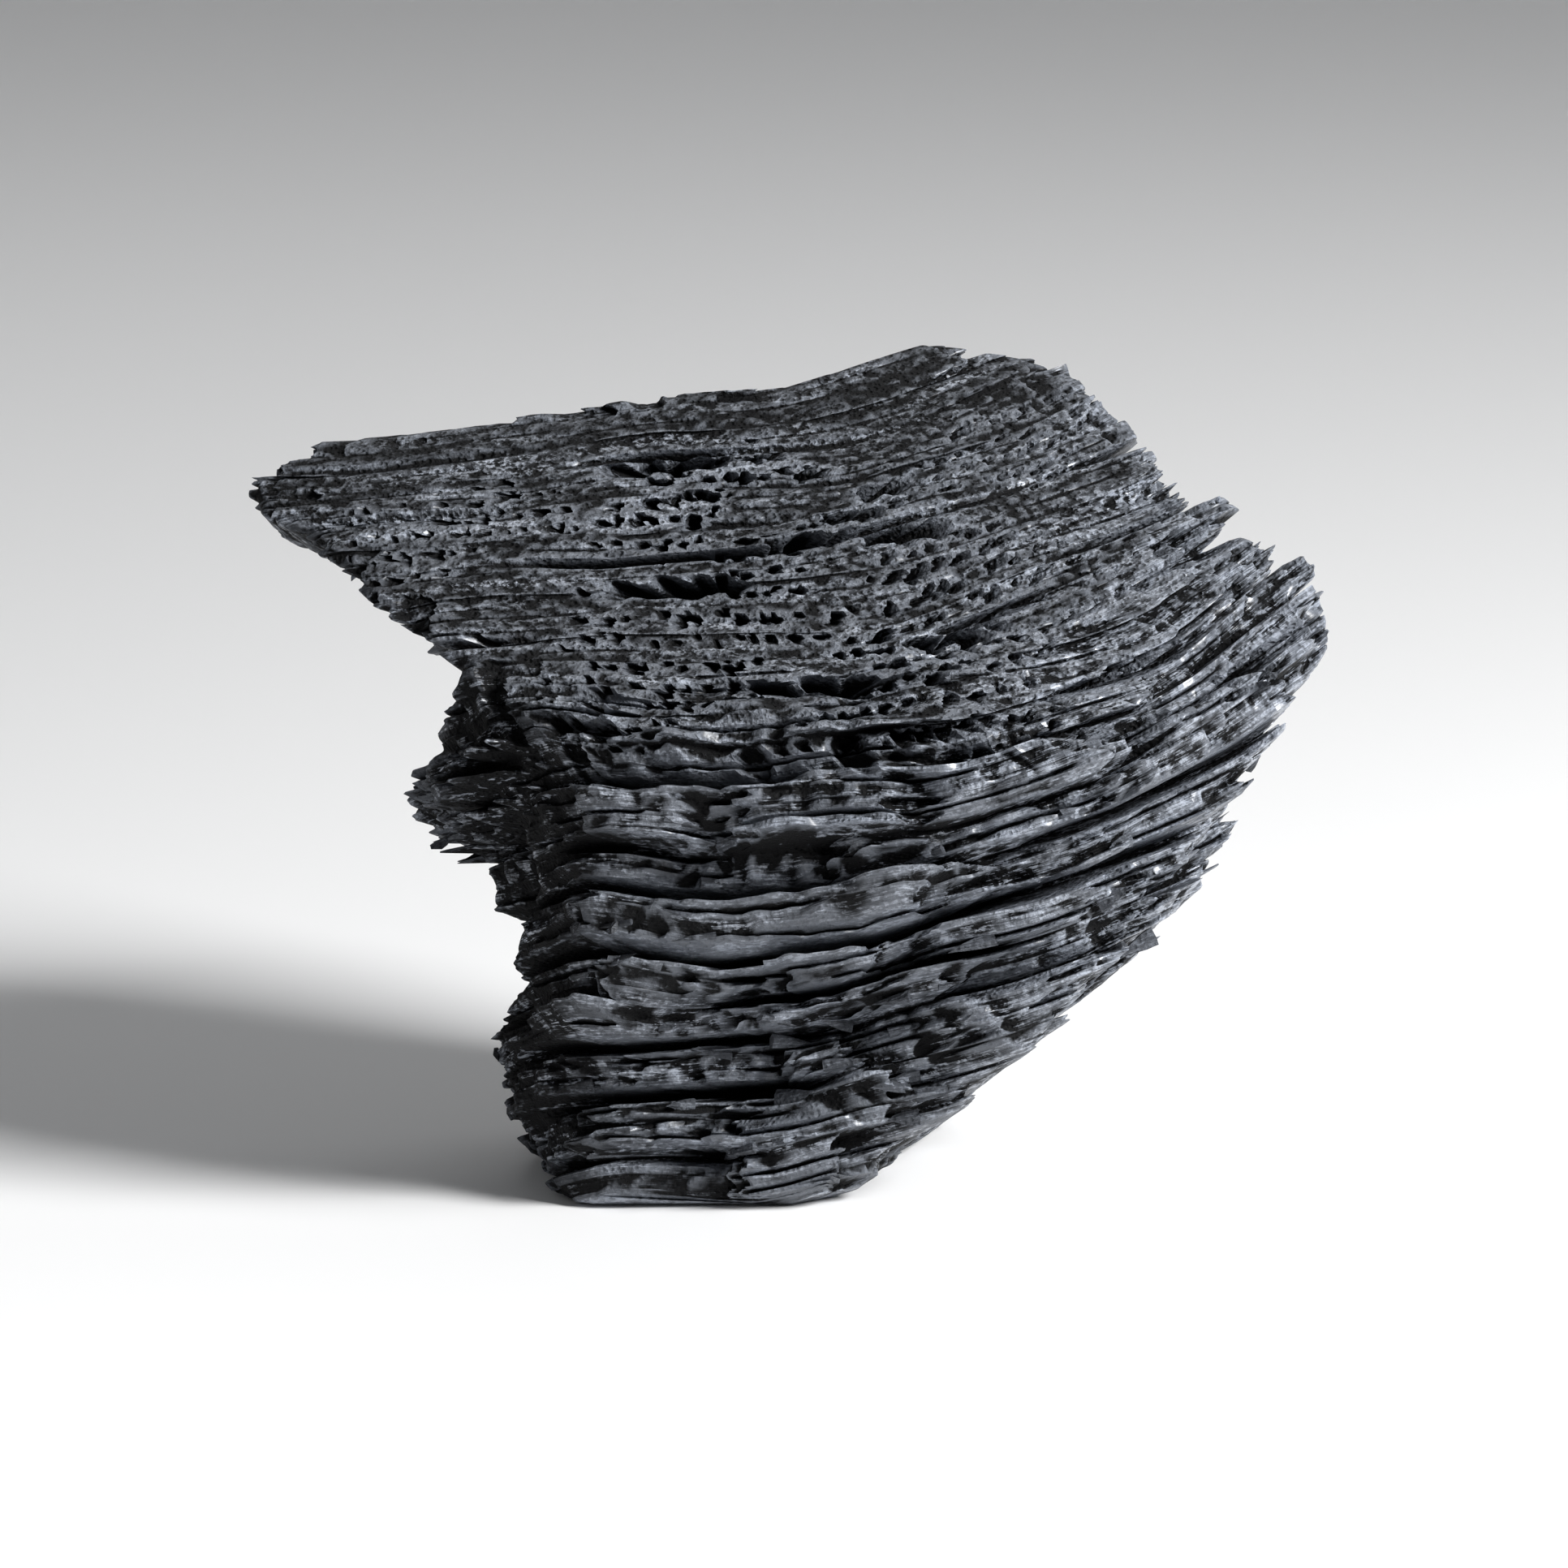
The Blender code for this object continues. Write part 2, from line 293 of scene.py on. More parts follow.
# The ledge that juts out below the left hollow, split along its layers
LEDGE = (
    Dent((-31.0, -17.0, 41.2), 17.0, 0.95, -4.8),
    Dent((-33.0, -17.0, 38.9), 17.5, 0.85, -5.8),
    Dent((-31.0, -16.0, 36.6), 15.0, 0.75, -4.0),
)
# Lens-shaped clefts in the end grain
LENSES = (
    Dent((-12.6, 7.4, 69.1), 6.0, 1.6, 6.0),
    Dent((-10.7, -12.6, 60.4), 7.5, 1.5, 6.5),
    Dent((2.8, -5.2, 63.6), 4.0, 1.2, 5.0),
    Dent((12.6, -3.9, 64.2), 5.5, 1.4, 6.0),
    Dent((9.5, 3.0, 67.2), 3.5, 1.2, 5.0),
    Dent((2.8, -28.7, 53.4), 7.0, 1.6, 6.0),
    Dent((17.9, -20.0, 57.2), 5.5, 1.4, 5.5),
    Dent((43.9, -3.7, 64.3), 6.0, 1.3, 4.5),
    Dent((34.6, -24.7, 55.1), 9.0, 0.9, 5.0),
    Dent((46.5, -23.0, 55.5), 7.0, 1.1, 5.0),
)


class Waves:
    """Smooth unevenness: sine waves that run in many directions, with values of about -1 to 1."""

    def __init__(self, random: np.random.Generator, wavelength: float, count: int = 14) -> None:
        """Draws the waves.

        Args:
            random: Where their headings, lengths and phases come from.
            wavelength: Their mean length, in mm.
            count: How many waves are added up.
        """
        heading = random.normal(size=(count, 3))
        heading /= np.linalg.norm(heading, axis=1)[:, None]
        length = wavelength * random.uniform(0.7, 1.5, count)
        self.pulse = (heading * (2 * np.pi / length)[:, None]).astype(np.float32)
        self.phase = random.uniform(0, 2 * np.pi, count).astype(np.float32)
        self.scale = np.float32(1.4 / np.sqrt(count))

    def at(self, x: Array, y: Array, z: Array) -> Array:
        """The unevenness at each point.

        Args:
            x: First coordinate, in mm.
            y: Second coordinate, in mm.
            z: Third coordinate, in mm.

        Returns:
            Values of about -1 to 1.
        """
        total = np.zeros(np.broadcast(x, y, z).shape, np.float32)
        for (a, b, c), phase in zip(self.pulse, self.phase):
            total += np.sin(a * x + b * y + c * z + phase)
        return total * self.scale


class Growth:
    """The growth layers of the wood, with the laminae that each of them is made of."""

    def __init__(self) -> None:
        """Draws the layers as the solid has them, and then the laminae."""
        random = np.random.default_rng(SEED)
        self.ripple = Waves(random, 40.0)
        self.wander = Waves(random, 20.0)
        self.swell = Waves(random, 34.0)
        self.chips = Waves(random, 5.0)
        self.gaps = Waves(random, 26.0)
        self.plates = Waves(random, 17.0)
        self.leans = Waves(random, 15.0)
        self.starts = self.layer_starts(random)

    def layer_starts(self, random: np.random.Generator) -> Array:
        """The level where each growth layer begins, from the lowest to the highest.

        Args:
            random: Where the thickness of each layer comes from.

        Returns:
            The levels, in mm, with the end of the last layer.
        """
        levels = [LOWEST]
        while levels[-1] < HIGHEST:
            thickness = LAYER * random.uniform(1 - LAYER_SPREAD, 1 + LAYER_SPREAD)
            levels.append(levels[-1] + thickness)
        shares = np.array(levels) - LOWEST
        return LOWEST + shares * (HIGHEST - LOWEST) / shares[-1]

    def height(self, x: Array, y: Array, level: Array) -> Array:
        """The height of a growth layer over a place in plan.

        Args:
            x: Places to the right, in mm.
            y: Places away from the front, in mm.
            level: Levels across the layers, in mm.

        Returns:
            The heights, in mm.
        """
        strayed = level + WANDER * self.wander.at(x, y, level)
        waved = RIPPLE * self.ripple.at(x, y, level * 0.35)
        return strayed / np.cos(np.radians(DIP)) + flat_layer(x, y) + waved

    def level_at(self, x: Array, y: Array, z: Array) -> Array:
        """The level of the growth layer that passes through each point.

        Args:
            x: Places to the right, in mm.
            y: Places away from the front, in mm.
            z: Heights, in mm.

        Returns:
            The levels, in mm.
        """
        level = (z - flat_layer(x, y)) * np.cos(np.radians(DIP))
        for _ in range(LEVEL_PASSES):
            level += (z - self.height(x, y, level)) * np.cos(np.radians(DIP))
        return level


@dataclass
class FineBody:
    """The whole lump in fine detail, as one closed mesh.

    Each ring of points is laid on one growth layer and reaches out to the broken faces. Rings lie
    close together where two laminae meet, so that cracks and steps there stay crisp.
    """

    growth: Growth
    columns: int = 760
    triangles: int = 194_000
    edge_rings: tuple[float, ...] = (0.0, 0.02, 0.045, 0.07, 0.10, 0.14, 0.19)  # share of a layer
    seam_rings: tuple[float, ...] = (-0.36, -0.2, -0.1, 0.0, 0.1, 0.2, 0.36)  # mm from a seam
    ring_apart: float = 0.07  # least distance between two rings
    last_ring: float = 0.03  # and from the last ring of a layer to the next layer
    plan_half: tuple[int, int] = (58, 46)  # half width and half depth of the searched plan
    rind: float = 4.0  # depth from which a place counts in full for the middle of its ring
    farthest: float = 120.0  # farther from the middle than any point
    least: float = 0.3  # share of its radius that a point keeps at least
    lamina: float = 1.5  # mean thickness of one lamina
    lamina_stray: float = 0.2  # share of it by which a seam may stray
    lamina_step: float = 0.26  # how far one lamina may stand out past the next
    lamina_sharp: float = 2.2  # how sharply a lamina steps in or out along its edge
    crack_depth: float = 2.8
    crack_half: float = 0.27  # half width of a crack, measured across the layers
    crack_open: tuple[float, float] = (0.02, 0.55)  # from where to where a crack opens
    cleft_deepen: float = 1.8  # how much deeper a cleft between two plates is than in the solid
    cleft_widen: float = 1.4  # and how much wider
    ledge_split: float = 1.0  # how much coarser the laminae of the ledge are
    ledge_torn: float = 0.5  # how unevenly it is torn, as a share of the clefts
    end_relief: float = 0.35  # how rough the long plates at the right end are
    torn_patch: float = 0.55  # how rough the end grain is where its front edge tore
    patch_back: tuple[float, float] = (-25.0, -33.0)  # Y from where to where it fades out
    patch_left: tuple[float, float] = (-28.0, -18.0)  # and X, at its left
    patch_right: tuple[float, float] = (34.0, 22.0)  # and at its right
    patch_stray: float = 3.0  # how far its back edge strays
    split: float = 0.75  # how much finely split wood shows on every side
    torn_shape: tuple[float, float] = (0.3, 3.0)  # torn edges are long and thin
    ragged: float = 0.20  # how unevenly the edge of a plate tore
    fray: float = 0.25  # unevenness of torn fibres
    calm: float = 0.25  # share of the broad unevenness that a smooth face has too
    sheltered: tuple[float, float] = (0.02, 0.4)  # from where to where a hollow meets the top
    row_apart: float = 2.6  # between two rows of pores, measured across the layers
    pore_apart: float = 2.3  # between two pores of a row
    row_wave: float = 0.8  # how far a row of pores is pushed together and pulled apart
    pore_half: tuple[float, float] = (0.95, 0.62)  # along and across the row
    pore_stray: tuple[float, float] = (0.3, 0.7)  # where in its cell a pore may lie
    pore_grown: tuple[float, float] = (0.60, 1.40)  # smallest and largest, as a share of that
    pore_depth: float = 2.6
    pore_rim: float = 0.7  # share of a pore that its rim takes
    pore_ground: tuple[float, float] = (0.3, 0.8)  # from where to where end grain has pores
    pores_open: float = 0.60  # share of the pores that is open
    pores_clustered: float = 0.8  # how much more or less that is in a cluster
    pores_front: float = 0.25  # how much more in the middle and at the lower right
    pores_left: float = 0.5  # how much less at the left end
    pores_plated: float = 0.55  # and in the long plates at the right
    pores_back: float = 0.5  # and at the back
    middle_from: tuple[float, float] = (-12.0, 6.0)  # X from where to where the middle begins
    front_from: tuple[float, float] = (-4.0, -16.0)  # Y from where to where the front begins
    left_from: tuple[float, float] = (-22.0, -38.0)  # X from where to where the left end begins
    back_from: tuple[float, float] = (6.0, 18.0)  # Y from where to where the back begins
    slants: tuple[float, float] = (0.3, 0.25)  # how much further back both lie at the right
    rim_stray: float = 0.45  # how unevenly a lens-shaped cleft or a pore is torn
    rims_finer: float = 2.2  # how much finer the unevenness of a pore is than that of a cleft
    grit: float = 0.10  # small unevenness of the end grain
    bitten: float = 1.8  # how deep the edge of the end grain is chipped
    bite: tuple[float, float] = (0.15, 0.9)  # from where to where a chip goes in
    crest: float = 3.0  # how far below the topmost layer its edge is chipped
    cap: tuple[float, ...] = (0.75, 0.5, 0.25)
    weld: float = 1e-7  # metres between two points that are one
    halvings: int = 17  # how often the search for a broken face is narrowed
    sharp: float = 38.0  # degrees between two triangles from which their edge is shaded sharp
    name: str = "charcoal_body"
    random: np.random.Generator = field(default_factory=lambda: np.random.default_rng(SEED + 1))

    def __post_init__(self) -> None:
        """Draws what is finer than the solid."""
        self.torn = Waves(self.random, 4.0)
        self.laminae = Waves(self.random, 9.0)
        self.cracks = Waves(self.random, 15.0)
        self.frayed = Waves(self.random, 2.6)
        self.clusters = Waves(self.random, 24.0)
        self.bumps = Waves(self.random, 1.6)
        self.rims = Waves(self.random, 2.8)
        self.pore_table = self.random.uniform(size=(4, 61, 97))
        self.levels, self.layer, self.seams = self.ring_levels()
        self.bites = Waves(self.random, 5.0)

    def ring_levels(self) -> tuple[Array, NDArray[np.int64], Array]:
        """Where the rings lie, and where two laminae meet.

        Returns:
            The rings' levels in mm, the growth layer of each ring, and the levels of the seams.
        """
        starts = self.growth.starts
        levels, layers, seams = [], [], []
        for number, (low, high) in enumerate(zip(starts, starts[1:])):
            count = max(2, round((high - low) / self.lamina))
            inner = np.linspace(low, high, count + 1)[1:-1]
            stray = self.lamina_stray
            inner += self.random.uniform(-stray, stray, count - 1) * self.lamina
            seams.extend(inner)
            edges = np.array(self.edge_rings) * (high - low)
            near = np.array(self.seam_rings)
            between = np.concatenate([[low], inner, [high]])
            middles = (between[1:] + between[:-1]) / 2
            offered = np.concatenate(
                [low + edges, high - edges[1:], middles, (inner[:, None] + near).ravel()]
            )
            kept = [low]
            for level in np.sort(offered):
                if low < level < high - self.last_ring and level - kept[-1] > self.ring_apart:
                    kept.append(level)
            levels.extend(kept)
            layers.extend([number] * len(kept))
        levels, seams = np.array(levels[1:], np.float32), np.array(seams, np.float32)
        return levels, np.array(layers[1:]), seams

    def frames(self) -> tuple[Array, Array]:
        """For each ring, the middle of its layer inside the lump and its spread in plan.

        Returns:
            The middles, in mm, and the square roots of the spreads as 2 x 2 matrices.
        """
        wide, deep = self.plan_half
        x, y = np.mgrid[-wide : wide + 1 : 2, -deep : deep + 1 : 2]
        x, y = x.ravel()[None].astype(float), y.ravel()[None].astype(float)
        heights = self.growth.height(x, y, self.levels[:, None])
        weight = np.clip(-outside(face_distances(x, y, heights)), 0.0, self.rind)
        weight /= weight.sum(axis=1, keepdims=True)
        middle = np.stack([(weight * x).sum(axis=1), (weight * y).sum(axis=1)], axis=1)
        away = np.stack([x - middle[:, :1], y - middle[:, 1:]], axis=-1)
        spread = np.einsum("rp,rpi,rpj->rij", weight, away, away)
        values, vectors = np.linalg.eigh(spread)
        root = np.sqrt(np.maximum(values, 1e-6))
        return middle, np.einsum("rik,rk,rjk->rij", vectors, root, vectors)

    def points(self) -> Array:
        """All points of the body.

        Returns:
            An array of rings by columns by X, Y and Z, in mm, from the lowest ring to the highest.
        """
        level = self.levels[:, None]
        middle, frame_of = self.frames()
        turn = np.arange(self.columns) * 2 * np.pi / self.columns
        way = np.einsum("rij,jc->irc", frame_of, np.array([np.cos(turn), np.sin(turn)]))
        way = (way / np.linalg.norm(way, axis=0)).astype(np.float32)
        middle = middle.astype(np.float32)

        def place_at(radius: Array) -> tuple[Array, Array, Array]:
            """The points this far from the middle of their ring, along their layer."""
            x, y = middle[:, :1] + radius * way[0], middle[:, 1:] + radius * way[1]
            return x, y, self.growth.height(x, y, level)

        plain = self.narrowed(
            np.full_like(way[0], self.farthest),
            lambda radius: outside(face_distances(*place_at(radius))) > 0,
        )
        radius = np.maximum(plain - self.inwards(place_at(plain)), self.least * plain)
        radius = self.above_floor(radius, middle, way)
        x, y, z = place_at(radius)
        rings = np.stack([x, y, np.where(z < FOOT_SNAP, 0.0, z)], axis=-1)
        caps = []
        for ring, shares in ((0, self.cap[::-1]), (-1, self.cap)):
            made = [np.stack([p[ring] for p in place_at(radius * s)], axis=-1) for s in shares]
            caps.append(np.array(made))
        return np.concatenate([caps[0], rings, caps[1]])

    def above_floor(self, radius: Array, middle: Array, way: Array) -> Array:
        """Shortens each radius to where its layer meets the standing surface.

        Args:
            radius: The radius of each point, in mm.
            middle: The middle of each ring, in mm.
            way: The direction of each point in plan.

        Returns:
            The radius of each point, with none below the surface.
        """
        x, y = middle[:, :1] + radius * way[0], middle[:, 1:] + radius * way[1]
        ring, column = np.nonzero(self.growth.height(x, y, self.levels[:, None]) < 0)
        level, centre, heading = self.levels[ring], middle[ring], way[:, ring, column]

        def sunk(radius: Array) -> Array:
            """Whether a layer is below the standing surface this far from its middle."""
            x, y = centre[:, 0] + radius * heading[0], centre[:, 1] + radius * heading[1]
            return self.growth.height(x, y, level) < 0

        clear = radius.copy()
        clear[ring, column] = self.narrowed(radius[ring, column], sunk)
        return clear

    def narrowed(self, outer: Array, beyond: Callable[[Array], Array]) -> Array:
        """Searches for where each radius crosses a border.

        Args:
            outer: Radii that end beyond the border.
            beyond: Tells for each radius whether it ends beyond the border.

        Returns:
            The radii up to the border.
        """
        inner = np.zeros_like(outer)
        for _ in range(self.halvings):
            half = (inner + outer) / 2
            past = beyond(half)
            inner, outer = np.where(past, inner, half), np.where(past, half, outer)
        return inner

    def inwards(self, place: tuple[Array, Array, Array]) -> Array:
        """How far each point moves in along its layer from the plain faces.

        Args:
            place: X, Y and Z of each point, in mm.

        Returns:
            The distances, in mm.
        """
        x, y, z = place
        level, layer = self.levels[:, None], self.layer[:, None]
        starts = self.growth.starts
        share = (level - starts[layer]) / np.diff(starts)[layer]
        weight = face_weights(x, y, z)
        relief = sum(w * face.relief for w, face in zip(weight, FACES))
        cleft = sum(w * face.cleft for w, face in zip(weight, FACES))
        shut = sum(w * face.shut for w, face in zip(weight, FACES))

        boundary = layer + (share > 0.5)
        opened = self.growth.gaps.at(x, y, boundary * APART) * 0.5 + 0.5
        opened = smooth_step(*OPENED, opened - shut)
        edge = np.minimum(share, 1.0 - share)
        gap = CLEFT_DEPTH * opened * cleft * self.cleft_deepen
        gap *= 1.0 - smooth_step(0.0, CLEFT_SHARE * self.cleft_widen, edge)

        plated = split_end(x, y) * weight[END_GRAIN]
        relief = relief + self.torn_patch * self.patch(x, y) * weight[END_GRAIN]
        relief = relief + self.end_relief * plated
        split = np.maximum(relief, self.split * (1.0 - weight[END_GRAIN]))
        split *= 1.0 + self.ledge_split * near_ledge(x, y, z)
        long, thin = self.torn_shape
        torn = self.torn.at(x * long, y * long, level * thin)
        broken = self.growth.plates.at(x, y, layer * APART) + self.ragged * torn
        step = smooth_step(*PLATE_OUT, broken) - smooth_step(*PLATE_IN, -broken)
        lean = LEAN * (share - 0.5) * self.growth.leans.at(x, y, layer * APART)
        chips = CHIP * self.growth.chips.at(x, y, z)
        rough = relief * (STAND_OUT * step + lean + chips) + split * self.laminations(x, y)
        swollen = self.calm + (1.0 - self.calm) * relief
        broad = SWELL * swollen * self.growth.swell.at(x, y, z)
        rough += self.fray * split * self.frayed.at(x, y, z)
        rough += self.grit * weight[END_GRAIN] * self.bumps.at(x, y, z)
        edged = 4.0 * weight[END_GRAIN] * (1.0 - weight[END_GRAIN])
        edged = np.maximum(edged, smooth_step(self.levels[-1] - self.crest, self.levels[-1], level))
        bites = self.bitten * edged * smooth_step(*self.bite, self.bites.at(x, y, z))
        moved = (gap + bites - rough - broad + self.pores(x, y, weight)) * (1.0 - weight[FOOT])

        under = 1.0 - smooth_step(*self.sheltered, weight[END_GRAIN])
        for dent in HOLLOWS:
            moved += under * dent.inwards(x, y, z)
        rim = self.rim_stray * self.rims.at(x, y, z)
        for dent in LEDGE:
            moved += under * dent.inwards(x, y, z, self.ledge_torn * rim)
        for dent in LENSES:
            moved += dent.inwards(x, y, z, rim)
        return moved

    def patch(self, x: Array, y: Array) -> Array:
        """Where the end grain tore along its front edge, from 0 to 1.

        Args:
            x: Places to the right, in mm.
            y: Places away from the front, in mm.

        Returns:
            The share at each place.
        """
        strayed = y + self.patch_stray * self.clusters.at(x, y, 0 * x)
        inside = smooth_step(*self.patch_left, x) * smooth_step(*self.patch_right, x)
        return smooth_step(*self.patch_back, strayed) * inside

    def laminations(self, x: Array, y: Array) -> Array:
        """How far each lamina stands out, and the cracks between two of them.

        Args:
            x: Places to the right, in mm.
            y: Places away from the front, in mm.

        Returns:
            The distances outwards, in mm, below zero in a crack.
        """
        level = self.levels[:, None]
        number = np.searchsorted(self.seams, level)
        own = self.laminae.at(x, y, number * APART)
        stand = self.lamina_step * np.clip(own * self.lamina_sharp, -1.0, 1.0)
        nearest = np.argmin(np.abs(self.seams[None] - level), axis=1)[:, None]
        away = np.abs(self.seams[nearest] - level)
        opened = self.cracks.at(x, y, nearest * APART + CRACKS_FROM)
        opened = smooth_step(*self.crack_open, opened)
        crack = self.crack_depth * opened * (1.0 - smooth_step(0.0, self.crack_half, away))
        return stand - crack

    def pores(self, x: Array, y: Array, weight: Array) -> Array:
        """The rows of open pores in the end grain.

        Args:
            x: Places to the right, in mm.
            y: Places away from the front, in mm.
            weight: How much each broken face counts at each point.

        Returns:
            How deep each point lies in a pore, in mm.
        """
        rows, cells = self.pore_table.shape[1:]
        level = self.levels[:, None] + 0 * x
        row = np.floor(level / self.row_apart).astype(int)
        shift = self.pore_table[0, row % rows, 0] * self.pore_apart
        along = x + shift + self.row_wave * self.clusters.at(x, y, row * APART)
        cell = np.floor(along / self.pore_apart).astype(int)
        stray, rise, size, luck = self.pore_table[:, row % rows, cell % cells]
        low, high = self.pore_stray
        off_along = along - (cell + low + (high - low) * stray) * self.pore_apart
        off_across = level - (row + low + (high - low) * rise) * self.row_apart
        least, most = self.pore_grown
        grown = least + (most - least) * size**2
        near = (off_along / (self.pore_half[0] * grown)) ** 2
        near = 1.0 - near - (off_across / (self.pore_half[1] * grown)) ** 2
        finer = self.rims_finer
        near += self.rim_stray * self.rims.at(x * finer, y * finer, level * finer)
        open_share = self.pore_share(x, y, level)
        there = (luck < open_share) * smooth_step(*self.pore_ground, weight[END_GRAIN])
        return self.pore_depth * grown * there * smooth_step(0.0, self.pore_rim, near)

    def pore_share(self, x: Array, y: Array, level: Array) -> Array:
        """Which share of the pores is open: most in clusters, in the middle and at the lower right.

        Args:
            x: Places to the right, in mm.
            y: Places away from the front, in mm.
            level: Levels across the layers, in mm.

        Returns:
            The share at each place.
        """
        share = self.pores_open + self.pores_clustered * self.clusters.at(x, y, level * 1.5)
        front = smooth_step(*self.front_from, y - self.slants[0] * x)
        front = smooth_step(*self.middle_from, x) * front
        left = smooth_step(*self.left_from, x)
        back = smooth_step(*self.back_from, y - self.slants[1] * x)
        share += self.pores_front * front
        share -= self.pores_left * left + self.pores_plated * split_end(x, y)
        return share - self.pores_back * back

    def build(self) -> Piece:
        """Makes the body from a grid that is rolled up round the rings and closed at its ends.

        Returns:
            The finished object, inside the box of the solid.
        """
        rings = self.points()
        tips = [np.broadcast_to(ring.mean(axis=0), ring.shape)[None] for ring in rings[[0, -1]]]
        rings = np.concatenate([tips[0], rings, tips[1]])
        rows = len(rings)
        bpy.ops.object.select_all(action="DESELECT")
        bpy.ops.mesh.primitive_grid_add(
            x_subdivisions=self.columns, y_subdivisions=rows - 1, size=2
        )
        body = bpy.context.active_object
        body.name = body.data.name = self.name
        flat = (read_points(body.data)[:, :2] + 1) / 2
        column = np.rint(flat[:, 0] * self.columns).astype(int) % self.columns
        row = np.rint(flat[:, 1] * (rows - 1)).astype(int)
        write_points(body.data, (rings[row, column] - (*MIDDLE, 0.0)) * MM)
        bpy.ops.object.mode_set(mode="EDIT")
        bpy.ops.mesh.select_all(action="SELECT")
        bpy.ops.mesh.remove_doubles(threshold=self.weld)
        bpy.ops.object.mode_set(mode="OBJECT")
        apply_modifier(body, "DECIMATE", ratio=self.triangles / (2 * self.columns * (rows - 2)))
        write_points(body.data, inside_box(read_points(body.data)))
        bpy.ops.object.shade_smooth_by_angle(angle=radians(self.sharp))
        return body


def read_points(mesh: Mesh) -> Array:
    """The points of a mesh, as an array of points by X, Y and Z."""
    points = np.empty(len(mesh.vertices) * 3)
    mesh.vertices.foreach_get("co", points)
    return points.reshape(-1, 3)


def read_normals(mesh: Mesh) -> Array:
    """The normals at the points of a mesh, in the same order."""
    normals = np.empty(len(mesh.vertices) * 3)
    mesh.vertices.foreach_get("normal", normals)
    return normals.reshape(-1, 3)


def write_points(mesh: Mesh, points: Array) -> None:
    """Moves the points of a mesh.

    Args:
        mesh: The mesh that changes.
        points: Where its points go, in metres.
    """
    mesh.vertices.foreach_set("co", points.ravel())
    mesh.update()


def inside_box(points: Array) -> Array:
    """Shrinks points towards the middle where they would leave the box of the solid.

    Args:
        points: The points, in metres.

    Returns:
        The points inside the box, with the lowest on the standing surface.
    """
    low, high = points.min(axis=0), points.max(axis=0)
    new_low = np.maximum(low, np.array(SOLID_LOW))
    new_high = np.minimum(high, np.array(SOLID_HIGH))
    placed = new_low + (points - low) * (new_high - new_low) / (high - low)
    placed[placed[:, 2] < FOOT_SNAP * MM, 2] = 0.0
    return placed


def apply_modifier(piece: Piece, kind: str, **settings: float) -> None:
    """Adds a modifier to a piece and applies it.

    Args:
        piece: The piece that it changes.
        kind: Which modifier it is.
        **settings: The modifier's own settings.
    """
    bpy.context.view_layer.objects.active = piece
    modifier = piece.modifiers.new(kind.title(), kind)
    for label, value in settings.items():
        setattr(modifier, label, value)
    bpy.ops.object.modifier_apply(modifier=modifier.name)


class Trace(Enum):
    """What is written on the points of a piece for its finish to read."""

    GROWTH = "growth"
    END_GRAIN = "end_grain"
    # painted shade in creases, hollows and at the left
    SOOT = "painted_shade"
    # ridges: partly rubbed wear, partly a painted highlight
    RUBBED = "rubbed_and_highlit"
    # random tone, with painted light at the right end
    TONE = "plate_tone_and_light"


